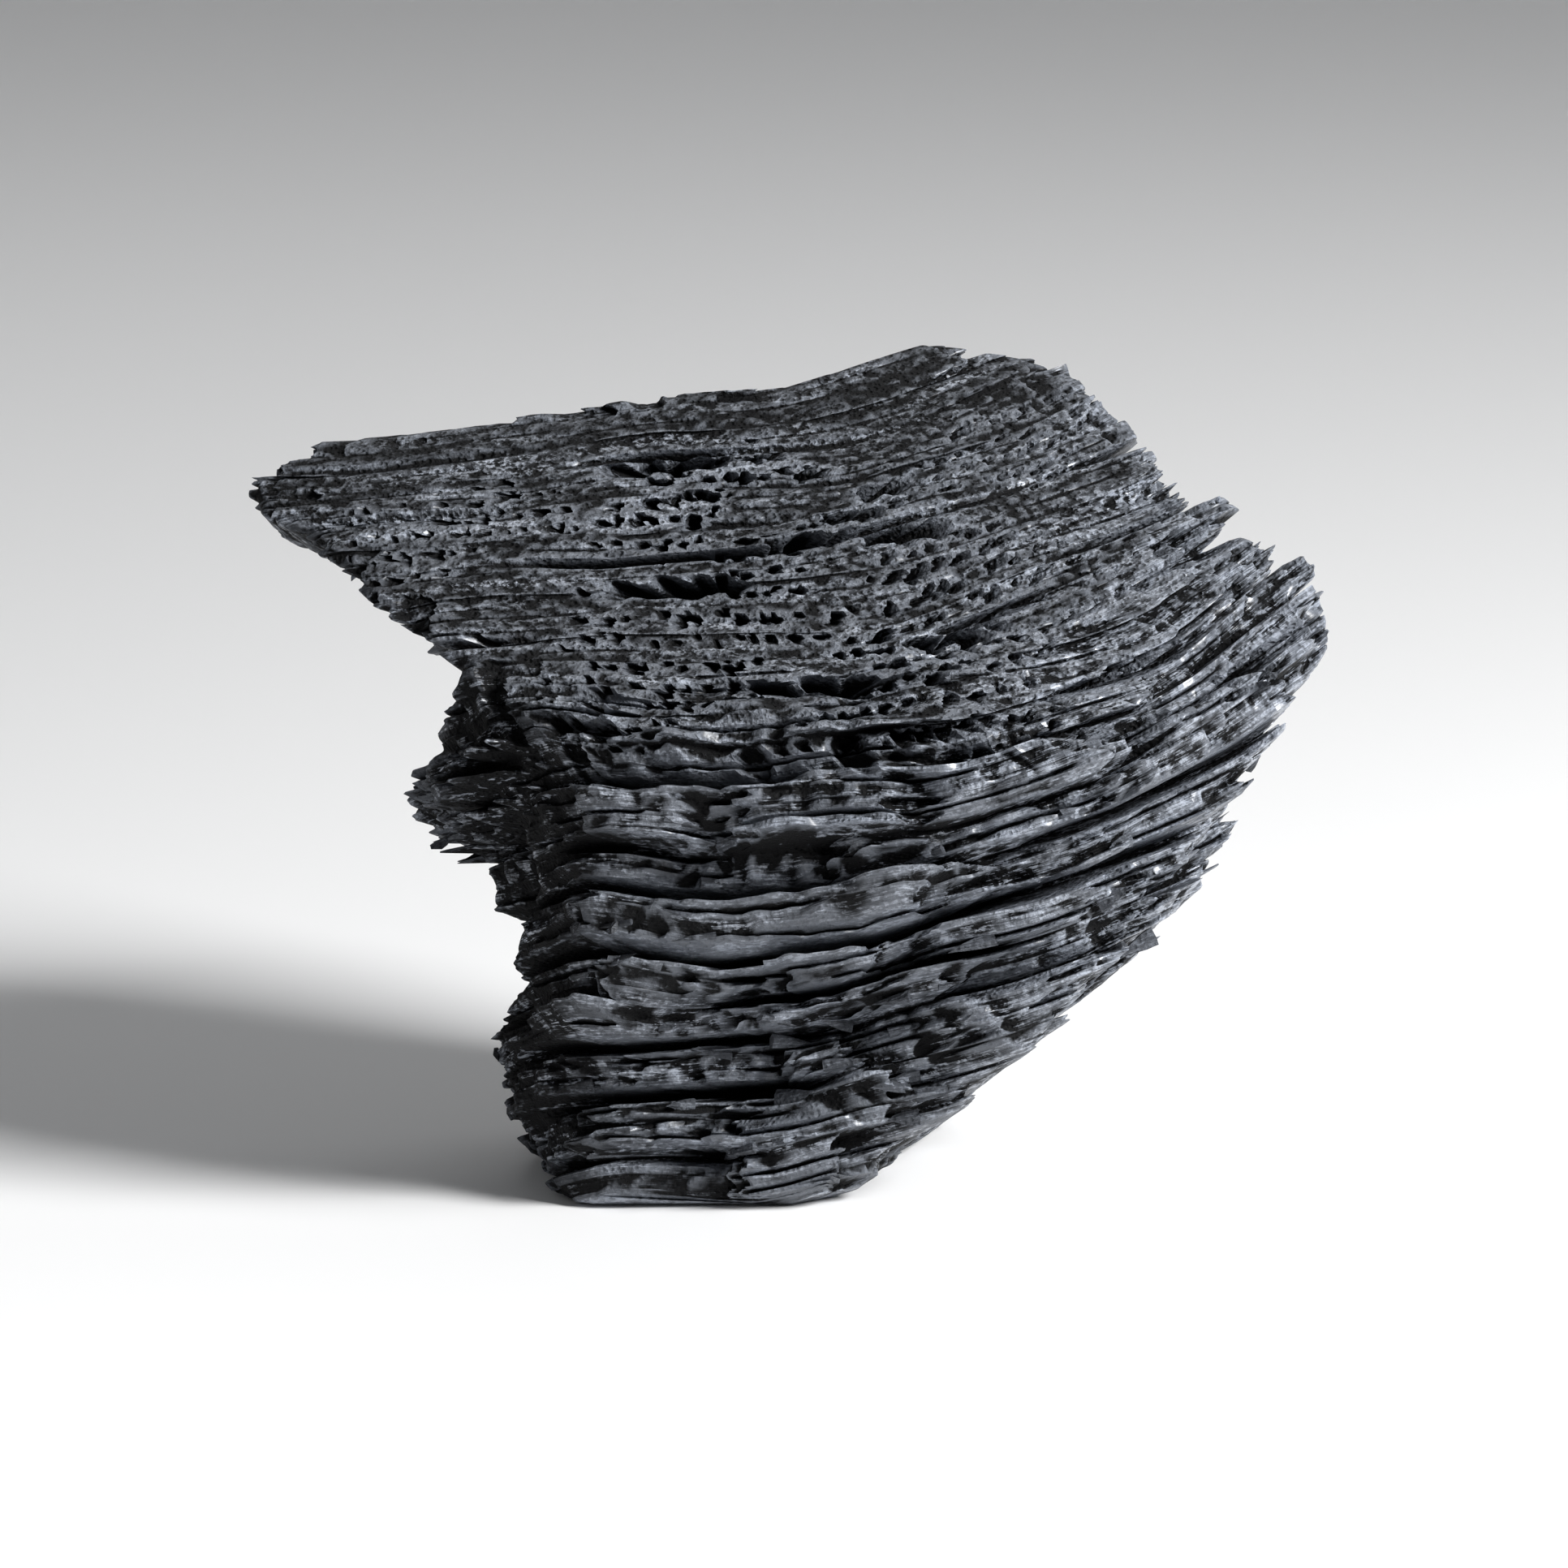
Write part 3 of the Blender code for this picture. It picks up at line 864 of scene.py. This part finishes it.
@dataclass
class SurfaceTraces:
    """Works out end grain, painted shade, rubbed and highlit ridges, and each point's layer."""

    growth: Growth
    fine_passes: int = 3
    broad_passes: int = 30
    fine_depth: float = 0.22  # how deep a crease is, in mm, where painted shade covers it
    crease_painted_shade: float = 0.6  # how much painted shade covers it there
    broad_from: float = 0.2  # how deep a wide hollow is, in mm, where painted shade begins
    broad_depth: float = 1.6  # and where painted shade covers it in full
    ridge_from: float = 0.02  # how high a ridge is, in mm, where it is rubbed and gets a painted highlight
    left_painted_shade: float = 0.55  # how much painted shade covers the left front, as though it lay in shadow
    left_share: float = 0.4  # share of that on the undercut left side
    top_bare: tuple[float, float] = (0.9, 0.3)  # mm below the topmost layer where traces fade
    top_grain: tuple[float, float] = (0.35, 0.75)  # from where to where end grain shows
    plated_share: float = 0.8  # how little end grain shows in the long plates at the right
    ledge_less_shade: float = 0.75  # how much less painted shade the splintery ledge has
    right_painted_light: float = 0.9  # how much brighter the right end is painted, as though more light falls on it
    right_light_from: tuple[float, float] = (14.0, 42.0)  # from where to where that painted light grows
    right_light_slant: float = 0.4  # how much further right that is at the back
    tone_wave: float = 12.0  # how long a patch of one tone is, in mm
    tone_thin: float = 6.0  # how much thinner than long it is
    tone_most: float = 1.7
    tones: np.random.Generator = field(default_factory=lambda: np.random.default_rng(SEED + 2))

    def write(self, piece: Piece) -> None:
        """Writes every trace on the points of a piece.

        Args:
            piece: The piece, with its place in its mesh.
        """
        mesh = piece.data
        placed = read_points(mesh) / MM + (*MIDDLE, 0.0)
        x, y, z = placed.T
        level = self.growth.level_at(x, y, z)
        weight = face_weights(x, y, z)
        fine, broad = self.hollowness(mesh)
        # Painted shade: creases and wide hollows are darkened where shade would fall in them.
        painted_shade = self.crease_painted_shade * smooth_step(0.0, self.fine_depth, fine)
        painted_shade += smooth_step(self.broad_from, self.broad_depth, broad)
        # Painted shade on the left front and the left side, as though they lay in shadow.
        painted_shade += self.left_painted_shade * (self.left_share * weight[LEFT] + weight[LEFT_FRONT])
        # Ridges: partly rubbed wear, partly a painted highlight.
        rubbed_and_highlit = smooth_step(self.ridge_from, self.fine_depth, -fine)
        painted_shade *= 1.0 - self.ledge_less_shade * near_ledge(x, y, z)
        top_from, top_to = self.growth.starts[-1] - np.array(self.top_bare)
        crest = smooth_step(top_from, top_to, level)
        painted_shade, rubbed_and_highlit = painted_shade * (1.0 - crest), rubbed_and_highlit * (1.0 - crest)
        tone_and_light = Waves(self.tones, self.tone_wave).at(x, y, level * self.tone_thin) * 0.5 + 0.5
        # Painted light: the right end is made brighter, as though more light falls on it.
        tone_and_light += self.right_painted_light * smooth_step(*self.right_light_from, x - self.right_light_slant * y)
        self.put(mesh, Trace.GROWTH, np.stack([x, y, level], axis=1))
        end_grain = smooth_step(*self.top_grain, weight[END_GRAIN])
        self.put(mesh, Trace.END_GRAIN, end_grain * (1.0 - self.plated_share * split_end(x, y)))
        self.put(mesh, Trace.SOOT, np.clip(painted_shade, 0.0, 1.0))
        self.put(mesh, Trace.RUBBED, rubbed_and_highlit)
        self.put(mesh, Trace.TONE, np.clip(tone_and_light, 0.0, self.tone_most))

    def hollowness(self, mesh: Mesh) -> tuple[Array, Array]:
        """How far each point lies below its surroundings.

        Args:
            mesh: The mesh, in metres.

        Returns:
            The depth in mm below the near and below the wider surroundings, below zero on a ridge.
        """
        points = read_points(mesh) / MM
        edges = np.empty(len(mesh.edges) * 2, np.int64)
        mesh.edges.foreach_get("vertices", edges)
        one, other = edges.reshape(-1, 2).T
        normals, count = read_normals(mesh), len(points)
        ends = np.bincount(one, minlength=count) + np.bincount(other, minlength=count)
        smooth, depths = points.copy(), []
        for number in range(1, self.broad_passes + 1):
            total = np.stack(
                [
                    np.bincount(one, smooth[other, axis], count)
                    + np.bincount(other, smooth[one, axis], count)
                    for axis in range(3)
                ],
                axis=1,
            )
            smooth = total / ends[:, None]
            if number in (self.fine_passes, self.broad_passes):
                depths.append(((smooth - points) * normals).sum(axis=1))
        return depths[0], depths[1]

    def put(self, mesh: Mesh, trace: Trace, values: Array) -> None:
        """Writes one trace.

        Args:
            mesh: The mesh that it goes on.
            trace: Which trace it is.
            values: One value or three for each point.
        """
        kind, label = ("FLOAT_VECTOR", "vector") if values.ndim == 2 else ("FLOAT", "value")
        layer = mesh.attributes.new(trace.value, kind, "POINT")
        layer.data.foreach_set(label, values.astype(np.float32).ravel())


@dataclass
class Splinters:
    """Slivers of torn wood that stand on the broken edges, with their roots sunk in."""

    growth: Growth
    count: int = 140
    length: tuple[float, float] = (2.0, 5.0)
    thick: tuple[float, float] = (0.55, 1.2)
    rise: tuple[float, float] = (2.0, 9.0)  # degrees that they stand off the surface
    broader: tuple[float, float] = (1.0, 2.2)  # how much broader than thick they are
    sunk: tuple[float, float] = (0.45, 0.35)  # share of length and thickness that is sunk in
    cuts: tuple[float, ...] = (0.35, 0.65, 0.87)  # where a sliver can bend
    taper: float = 0.86  # how much thinner its tip is
    bow: float = 0.25  # how far it bows up
    slant: float = 1.2  # how slanting its tip broke off
    rough_from: float = 0.25  # how rough a side is where slivers start to stand
    clear: float = 4.0  # mm above the standing surface without any
    more_left: float = 0.6  # how many more stand on the left side
    left_end: float = -20.0  # X where that side ends
    sharp: float = 30.0  # degrees between two faces from which their edge is shaded sharp
    name: str = "charcoal_splinters"
    random: np.random.Generator = field(default_factory=lambda: np.random.default_rng(SEED + 3))

    def sliver(self) -> Piece:
        """Models one sliver, 1 mm long and thick, along X and with its root at the origin.

        Returns:
            The sliver, tapered, bowed and chipped at its tip.
        """
        bpy.ops.object.select_all(action="DESELECT")
        bpy.ops.mesh.primitive_cylinder_add(
            vertices=5, radius=0.5, depth=1.0, location=(0.5, 0, 0), rotation=(0, radians(90), 0)
        )
        sliver = bpy.context.active_object
        bpy.ops.object.transform_apply(location=True, rotation=True, scale=True)
        bpy.ops.object.mode_set(mode="EDIT")
        bpy.ops.mesh.select_all(action="SELECT")
        for cut in self.cuts:
            bpy.ops.mesh.select_all(action="SELECT")
            bpy.ops.mesh.bisect(plane_co=(cut, 0, 0), plane_no=(1, 0, 0))
        bpy.ops.object.mode_set(mode="OBJECT")
        points = read_points(sliver.data)
        taper = 1.0 - self.taper * points[:, 0] ** 1.6
        points[:, 1] *= taper
        points[:, 2] = points[:, 2] * taper * (1.0 - self.bow) + self.bow * points[:, 0] ** 2
        tip = points[:, 0] > 0.99
        points[tip, 0] += self.slant * points[tip, 1]
        write_points(sliver.data, points)
        return sliver

    def places(self, body: Piece) -> tuple[Array, Array]:
        """Picks the ridges of the torn sides where the slivers stand.

        Args:
            body: The lump's fine body, with its traces.

        Returns:
            The points in metres, and their normals.
        """
        mesh = body.data
        points, normals = read_points(mesh), read_normals(mesh)
        rubbed_and_highlit = np.empty(len(points), np.float32)
        mesh.attributes[Trace.RUBBED.value].data.foreach_get("value", rubbed_and_highlit)
        weight = face_weights(*(points / MM + (*MIDDLE, 0.0)).T)
        rough = sum(w * face.relief for w, face in zip(weight, FACES))
        chance = rubbed_and_highlit * np.clip(rough - self.rough_from, 0.0, 1.0)
        chance *= points[:, 2] > self.clear * MM
        chance *= 1.0 + self.more_left * (points[:, 0] < self.left_end * MM)
        picked = self.random.choice(len(points), self.count, replace=False, p=chance / chance.sum())
        return points[picked], normals[picked]

    def build(self, body: Piece) -> Piece:
        """Makes all slivers and joins them in one piece.

        Args:
            body: The lump's fine body, with its traces.

        Returns:
            The finished object.
        """
        pattern = self.sliver()
        shape = read_points(pattern.data)
        copies = []
        for point, normal in zip(*self.places(body)):
            copy = bpy.data.objects.new(self.name, pattern.data.copy())
            bpy.context.collection.objects.link(copy)
            write_points(copy.data, self.laid(shape, point, normal))
            copies.append(copy)
        bpy.data.objects.remove(pattern)
        bpy.ops.object.select_all(action="DESELECT")
        for copy in copies:
            copy.select_set(True)
        bpy.context.view_layer.objects.active = copies[0]
        bpy.ops.object.join()
        splinters = bpy.context.active_object
        splinters.name = splinters.data.name = self.name
        bpy.ops.object.shade_smooth_by_angle(angle=radians(self.sharp))
        return splinters

    def laid(self, shape: Array, point: Array, normal: Array) -> Array:
        """Lays one sliver along its growth layer, on a point of the body.

        Args:
            shape: The points of the sliver, as it was modelled.
            point: Where it stands, in metres.
            normal: The normal of the body there.

        Returns:
            The sliver's points, in metres.
        """
        x, y = point[0] / MM + MIDDLE[0], point[1] / MM + MIDDLE[1]
        slope = [flat_layer(x + 0.5, y) - flat_layer(x - 0.5, y)]
        slope.append(flat_layer(x, y + 0.5) - flat_layer(x, y - 0.5))
        layer = np.array([-slope[0], -slope[1], 1.0])
        along = np.cross(normal, layer)
        along /= np.linalg.norm(along) + 1e-9
        along *= self.random.choice((-1.0, 1.0))
        rise = radians(self.random.uniform(*self.rise))
        ahead = along * np.cos(rise) + normal * np.sin(rise)
        up = normal * np.cos(rise) - along * np.sin(rise)
        across = np.cross(up, ahead)
        length = self.random.uniform(*self.length) * MM
        thick = self.random.uniform(*self.thick) * MM
        width = thick * self.random.uniform(*self.broader)
        root = point - ahead * self.sunk[0] * length - normal * self.sunk[1] * thick
        laid = root + np.outer(shape[:, 0] * length, ahead)
        laid += np.outer(shape[:, 1] * width, across) + np.outer(shape[:, 2] * thick, up)
        return np.clip(laid, np.array(SOLID_LOW), np.array(SOLID_HIGH))


class Graph:
    """A shader node tree, with short ways to add nodes and join them."""

    def __init__(self, tree: Tree) -> None:
        """Takes the tree that the nodes go in."""
        self.tree = tree

    def add(self, kind: str, **settings: object) -> Node:
        """Adds one node.

        Args:
            kind: The node's type, without the word ShaderNode.
            **settings: The node's own settings.

        Returns:
            The new node.
        """
        node = self.tree.nodes.new("ShaderNode" + kind)
        for label, value in settings.items():
            setattr(node, label, value)
        return node

    def feed(self, socket: Socket, value: object) -> None:
        """Joins a socket to another one, or gives it a plain value.

        Args:
            socket: The input socket.
            value: An output socket, or the value.
        """
        if isinstance(value, Socket):
            self.tree.links.new(value, socket)
        else:
            socket.default_value = value

    def math(self, operation: str, *values: object, clamp: bool = False) -> Socket:
        """Adds a Math node.

        Args:
            operation: What it works out.
            *values: Sockets or numbers.
            clamp: Whether its result is held between 0 and 1.

        Returns:
            Its result.
        """
        node = self.add("Math", operation=operation, use_clamp=clamp)
        for socket, value in zip(node.inputs, values):
            self.feed(socket, value)
        return node.outputs[0]

    def blend(self, share: object, first: object, second: object) -> Socket:
        """Mixes two values.

        Args:
            share: How much of the second one there is.
            first: The value at share 0.
            second: The value at share 1.

        Returns:
            The mixed value.
        """
        node = self.add("Mix", data_type="FLOAT", clamp_factor=True)
        for label, value in (("Factor", share), ("A", first), ("B", second)):
            self.feed(node.inputs[label], value)
        return node.outputs["Result"]

    def tint(self, share: object, first: Triple, second: Triple) -> Socket:
        """Mixes two colours.

        Args:
            share: How much of the second one there is.
            first: The colour at share 0.
            second: The colour at share 1.

        Returns:
            The mixed colour.
        """
        node = self.add("Mix", data_type="RGBA", clamp_factor=True)
        sockets = [s for s in node.inputs if s.type == "RGBA"]
        self.feed(node.inputs[0], share)
        self.feed(sockets[0], (*first, 1.0))
        self.feed(sockets[1], (*second, 1.0))
        return next(s for s in node.outputs if s.type == "RGBA")

    def grade(self, value: object, low: float, high: float) -> Socket:
        """A smooth rise from 0 to 1.

        Args:
            value: The value to grade.
            low: Where the rise begins.
            high: Where it ends.

        Returns:
            The graded value.
        """
        node = self.add("MapRange", interpolation_type="SMOOTHSTEP")
        self.feed(node.inputs["Value"], value)
        self.feed(node.inputs["From Min"], low)
        self.feed(node.inputs["From Max"], high)
        return node.outputs["Result"]

    def noise(self, vector: object, scale: object, detail: float, rough: float) -> Socket:
        """Adds a noise pattern.

        Args:
            vector: Where it is read.
            scale: How fine it is.
            detail: How many finer patterns are added to it.
            rough: How strong those are.

        Returns:
            Its value.
        """
        node = self.add("TexNoise", noise_dimensions="3D")
        self.feed(node.inputs["Vector"], vector)
        self.feed(node.inputs["Scale"], scale)
        self.feed(node.inputs["Detail"], detail)
        self.feed(node.inputs["Roughness"], rough)
        return node.outputs["Fac"]


def new_group(name: str, inputs: dict[str, object], outputs: tuple[str, ...]) -> tuple:
    """Starts a node group.

    Args:
        name: The group's name.
        inputs: Its inputs, with their values. A triple makes a vector input.
        outputs: The names of its outputs, which are all plain values.

    Returns:
        The group, its graph, its input node and its output node.
    """
    group = bpy.data.node_groups.new(name, "ShaderNodeTree")
    for label, value in inputs.items():
        kind = "NodeSocketVector" if isinstance(value, tuple) else "NodeSocketFloat"
        socket = group.interface.new_socket(name=label, in_out="INPUT", socket_type=kind)
        socket.default_value = value
    for label in outputs:
        group.interface.new_socket(name=label, in_out="OUTPUT", socket_type="NodeSocketFloat")
    graph = Graph(group)
    return group, graph, group.nodes.new("NodeGroupInput"), group.nodes.new("NodeGroupOutput")


def fibre_group() -> Tree:
    """Streaks of fibres that run along the growth layers.

    Returns:
        A group with the place in the growth as its input, and streaks and a height as outputs.
    """
    inputs = {"Growth": (0.0, 0.0, 0.0), "Length": 9.0, "Thickness": 0.42}
    group, graph, given, result = new_group("fibre streaks", inputs, ("Streaks", "Height"))
    parts = graph.add("SeparateXYZ")
    graph.feed(parts.inputs[0], given.outputs["Growth"])
    place = graph.add("CombineXYZ")
    for axis in range(3):
        size = given.outputs["Thickness" if axis == 2 else "Length"]
        graph.feed(place.inputs[axis], graph.math("DIVIDE", parts.outputs[axis], size))
    broad = graph.noise(place.outputs[0], *BROAD_FIBRES)
    fine = graph.noise(place.outputs[0], *FINE_FIBRES)
    bright = graph.grade(broad, *BRIGHT_BAND)
    thread = graph.grade(fine, *BRIGHT_THREAD)
    both = graph.math("MULTIPLY", bright, thread)
    graph.feed(result.inputs["Streaks"], graph.blend(0.5, both, graph.blend(0.45, bright, thread)))
    graph.feed(result.inputs["Height"], graph.blend(0.35, broad, fine))
    return group


def speckle_group() -> Tree:
    """The cut ends of fibres and vessels: light specks between dark pinholes.

    Returns:
        A group with a place in mm as its input, and specks and a height as outputs.
    """
    inputs = {"Place": (0.0, 0.0, 0.0), "Speck": 0.55}
    group, graph, given, result = new_group("end grain specks", inputs, ("Specks", "Height"))
    scale = graph.math("DIVIDE", 1.0, given.outputs["Speck"])
    cells = graph.add("TexVoronoi", feature="F1")
    graph.feed(cells.inputs["Vector"], given.outputs["Place"])
    graph.feed(cells.inputs["Scale"], scale)
    hole = graph.grade(cells.outputs["Distance"], *PINHOLE)
    grain_scale = graph.math("MULTIPLY", scale, GRAIN_SCALE)
    grain = graph.noise(given.outputs["Place"], grain_scale, GRAIN_DETAIL, GRAIN_ROUGH)
    lit = graph.grade(grain, *LIT_GRAIN)
    graph.feed(result.inputs["Specks"], graph.math("MULTIPLY", lit, hole))
    graph.feed(result.inputs["Height"], graph.math("MULTIPLY_ADD", hole, 0.5, grain))
    return group


@dataclass(frozen=True)
class CharredWood:
    """Charred wood: nearly black, with a dull blue-grey satin sheen along its fibres.

    dark and light are the colours that it is mixed between, and matt and satin their roughness.
    dark is the blackest char, which painted shade in creases, hollows and at the left also gives.
    light is partly the grey of bare fibres and partly a painted blue-grey sheen. A bare plate has
    a thin satin coat. relief_mm is how deep fibres and pores are, fibre and band how long and
    thick a streak is, in mm, and speck how wide a speck is. banded, gritty and toned are how
    strongly bands, specks and patches show, and how bright it is without them. grit_share is how
    much of the relief of the sides comes from specks.
    """

    name: str = "charred wood"
    dark: Triple = (0.0030, 0.0031, 0.0036)
    # partly the grey of bare fibres, partly a painted blue-grey sheen
    light: Triple = (0.280, 0.306, 0.355)
    matt: float = 0.70
    satin: float = 0.42
    ior: float = 1.24
    coat: float = 0.55
    coat_ior: float = 1.7
    coat_roughness: float = 0.27
    relief_mm: float = 0.75
    fibre: tuple[float, float] = (5.5, 0.34)
    band: tuple[float, float] = (45.0, 1.7)
    speck: float = 0.70
    end_share: float = 0.85
    banded: tuple[float, float] = (0.95, 0.12)
    gritty: tuple[float, float] = (1.25, 0.35)
    toned: tuple[float, float] = (1.15, 0.18)
    # how much ridges are lightened, as rubbed wear and painted highlight
    rubbed_highlight_gain: float = 0.36
    # how much the painted shade darkens
    painted_shade_loss: float = 0.85
    grit_share: float = 0.5

    def material(self, fibres: Tree, specks: Tree) -> bpy.types.Material:
        """Makes the material.

        Args:
            fibres: The group that draws fibre streaks.
            specks: The group that draws end grain.

        Returns:
            The material, which reads the traces on the points of its piece.
        """
        material = bpy.data.materials.new(self.name)
        material.use_nodes = True
        graph = Graph(material.node_tree)
        shader = material.node_tree.nodes["Principled BSDF"]
        read = {trace: graph.add("Attribute", attribute_name=trace.value) for trace in Trace}
        growth = read[Trace.GROWTH].outputs["Vector"]

        def streaked(size: tuple[float, float]) -> Node:
            """Adds streaks of one length and thickness, in mm."""
            node = graph.add("Group", node_tree=fibres)
            graph.feed(node.inputs["Growth"], growth)
            node.inputs["Length"].default_value, node.inputs["Thickness"].default_value = size
            return node

        streaks, bands = streaked(self.fibre), streaked(self.band)
        place = graph.add("VectorMath", operation="SCALE")
        graph.feed(place.inputs["Vector"], graph.add("TexCoord").outputs["Object"])
        place.inputs["Scale"].default_value = 1 / MM
        grains = graph.add("Group", node_tree=specks)
        graph.feed(grains.inputs["Place"], place.outputs[0])
        grains.inputs["Speck"].default_value = self.speck

        ends = graph.math("MULTIPLY", read[Trace.END_GRAIN].outputs["Fac"], self.end_share)
        banded = graph.math("MULTIPLY_ADD", bands.outputs["Streaks"], *self.banded)
        banded = graph.math("MULTIPLY", grains.outputs["Specks"], banded)
        grained = graph.math("MULTIPLY_ADD", grains.outputs["Specks"], *self.gritty)
        grained = graph.math("MULTIPLY", streaks.outputs["Streaks"], grained)
        pattern = graph.blend(ends, grained, banded)
        tone_and_light = graph.math("MULTIPLY_ADD", read[Trace.TONE].outputs["Fac"], *self.toned)
        brightness = graph.math("MULTIPLY", pattern, tone_and_light)
        # Ridges: partly rubbed wear, partly painted highlight. Creases, hollows, left: painted
        # shade.
        rubbed_and_highlit, painted_shade = read[Trace.RUBBED].outputs["Fac"], read[Trace.SOOT].outputs["Fac"]
        brightness = graph.math("MULTIPLY_ADD", rubbed_and_highlit, self.rubbed_highlight_gain, brightness)
        brightness = graph.math("MULTIPLY_ADD", painted_shade, -self.painted_shade_loss, brightness, clamp=True)
        coated = graph.math("MULTIPLY", brightness, self.coat, clamp=True)
        graph.feed(shader.inputs["Coat Weight"], coated)
        shader.inputs["Coat IOR"].default_value = self.coat_ior
        shader.inputs["Coat Roughness"].default_value = self.coat_roughness
        graph.feed(shader.inputs["Base Color"], graph.tint(brightness, self.dark, self.light))
        graph.feed(shader.inputs["Roughness"], graph.blend(brightness, self.matt, self.satin))

        height = graph.blend(self.grit_share, streaks.outputs["Height"], grains.outputs["Height"])
        height = graph.blend(ends, height, grains.outputs["Height"])
        bump = graph.add("Bump")
        bump.inputs["Distance"].default_value = self.relief_mm * MM
        graph.feed(bump.inputs["Height"], height)
        graph.feed(shader.inputs["Normal"], bump.outputs["Normal"])
        shader.inputs["IOR"].default_value = self.ior
        shader.inputs["Metallic"].default_value = 0.0
        return material


@dataclass(frozen=True)
class Softbox:
    """A plain soft light that faces the lump."""

    name: str
    direction: Triple
    distance: float
    size: tuple[float, float]
    power: float

    def build(self, target: Vector) -> Piece:
        """Makes the light.

        Args:
            target: The point that it faces, in metres.

        Returns:
            The light.
        """
        towards = Vector(self.direction).normalized()
        bpy.ops.object.light_add(type="AREA", location=target + towards * self.distance)
        light = bpy.context.active_object
        light.name = self.name
        light.data.shape = "RECTANGLE"
        light.data.size, light.data.size_y = self.size
        light.data.energy = self.power
        light.rotation_euler = towards.to_track_quat("Z", "Y").to_euler()
        return light


@dataclass
class Studio:
    """A plain pale floor that curves up behind the lump, soft lights and the camera."""

    floor_half: float = 1.6
    wall: float = 1.8
    cove: float = 0.45
    rounding: int = 16  # faces of the rounded fold
    floor_colour: Triple = (0.86, 0.86, 0.86)
    floor_roughness: float = 0.7
    sky_colour: Triple = (0.93, 0.96, 1.0)
    elevation: float = 11.0
    lens: float = 200.0
    distance: float = 0.86
    ambient: float = 0.12
    softboxes: tuple[Softbox, ...] = (
        Softbox("top sheen", (0.15, 0.62, 0.78), 0.95, (0.9, 0.5), 1.5),
        Softbox("key", (0.80, -0.52, 0.60), 0.9, (0.30, 0.30), 16.5),
        Softbox("fill", (-0.5, -0.9, 0.5), 1.3, (0.8, 0.8), 0.8),
    )

    def floor(self) -> Piece:
        """Makes the floor, with its back edge pulled up into a wall and the fold rounded.

        Returns:
            The floor.
        """
        half = self.floor_half
        bpy.ops.object.select_all(action="DESELECT")
        bpy.ops.mesh.primitive_plane_add(size=2 * half)
        floor = bpy.context.active_object
        floor.name = "pale_floor"
        bpy.ops.object.mode_set(mode="EDIT")
        bpy.ops.mesh.select_all(action="DESELECT")
        bpy.ops.object.mode_set(mode="OBJECT")
        for edge in floor.data.edges:
            ends = [floor.data.vertices[v].co.y for v in edge.vertices]
            edge.select = min(ends) > half * 0.99
        bpy.ops.object.mode_set(mode="EDIT")
        bpy.ops.mesh.select_mode(type="EDGE")
        bpy.ops.mesh.extrude_edges_move(TRANSFORM_OT_translate={"value": (0, 0, self.wall)})
        bpy.ops.object.mode_set(mode="OBJECT")
        for edge in floor.data.edges:
            ends = [floor.data.vertices[v].co for v in edge.vertices]
            edge.select = all(p.y > half * 0.99 and p.z < 0.01 for p in ends)
        bpy.ops.object.mode_set(mode="EDIT")
        bpy.ops.mesh.bevel(offset=self.cove, segments=self.rounding)
        bpy.ops.object.mode_set(mode="OBJECT")
        bpy.ops.object.shade_smooth()
        finish = bpy.data.materials.new("pale floor")
        finish.use_nodes = True
        shader = finish.node_tree.nodes["Principled BSDF"]
        shader.inputs["Base Color"].default_value = (*self.floor_colour, 1.0)
        shader.inputs["Roughness"].default_value = self.floor_roughness
        floor.data.materials.append(finish)
        return floor

    def camera(self, target: Vector) -> Piece:
        """Makes the camera, level with the front and looking down at the lump.

        Args:
            target: The point that it looks at, in metres.

        Returns:
            The camera.
        """
        rise = radians(self.elevation)
        back = Vector((0.0, -np.cos(rise), np.sin(rise)))
        bpy.ops.object.camera_add(location=target + back * self.distance)
        camera = bpy.context.active_object
        camera.name = "camera"
        camera.data.lens = self.lens
        camera.rotation_euler = back.to_track_quat("Z", "Y").to_euler()
        bpy.context.scene.camera = camera
        return camera

    def world(self) -> None:
        """Gives the room its even light."""
        world = bpy.data.worlds.new("plain room")
        world.use_nodes = True
        sky = world.node_tree.nodes["Background"]
        sky.inputs["Color"].default_value = (*self.sky_colour, 1.0)
        sky.inputs["Strength"].default_value = self.ambient
        bpy.context.scene.world = world

    def build(self) -> None:
        """Makes the whole studio around the lump."""
        target = (SOLID_LOW + SOLID_HIGH) / 2
        self.floor()
        self.camera(target)
        self.world()
        for softbox in self.softboxes:
            softbox.build(target)
        bpy.context.scene.view_settings.view_transform = "Standard"


def carry(piece: Piece, material: bpy.types.Material) -> None:
    """Gives a piece its finish and lets it move with the lump.

    Args:
        piece: The finished piece.
        material: Its finish.
    """
    piece.data.materials.clear()
    piece.data.materials.append(material)
    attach(piece, BODY)
    triangles = sum(len(face.vertices) - 2 for face in piece.data.polygons)
    log.info("%s: %d triangles", piece.name, triangles)


def main() -> None:
    """Builds the lump's pieces, their finishes and the studio."""
    logging.basicConfig(level=logging.INFO, format="%(name)s: %(message)s")
    growth = Growth()
    traces = SurfaceTraces(growth)
    fibres, specks = fibre_group(), speckle_group()

    body = FineBody(growth).build()
    traces.write(body)
    splinters = Splinters(growth).build(body)
    traces.write(splinters)
    carry(body, CharredWood().material(fibres, specks))
    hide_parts(NODE)
    torn = CharredWood(name="torn fibres", light=TORN_LIGHT, coat=0.1, fibre=(5.0, 0.2))
    carry(splinters, torn.material(fibres, specks))

    Studio().build()


if __name__ == "__main__":
    main()
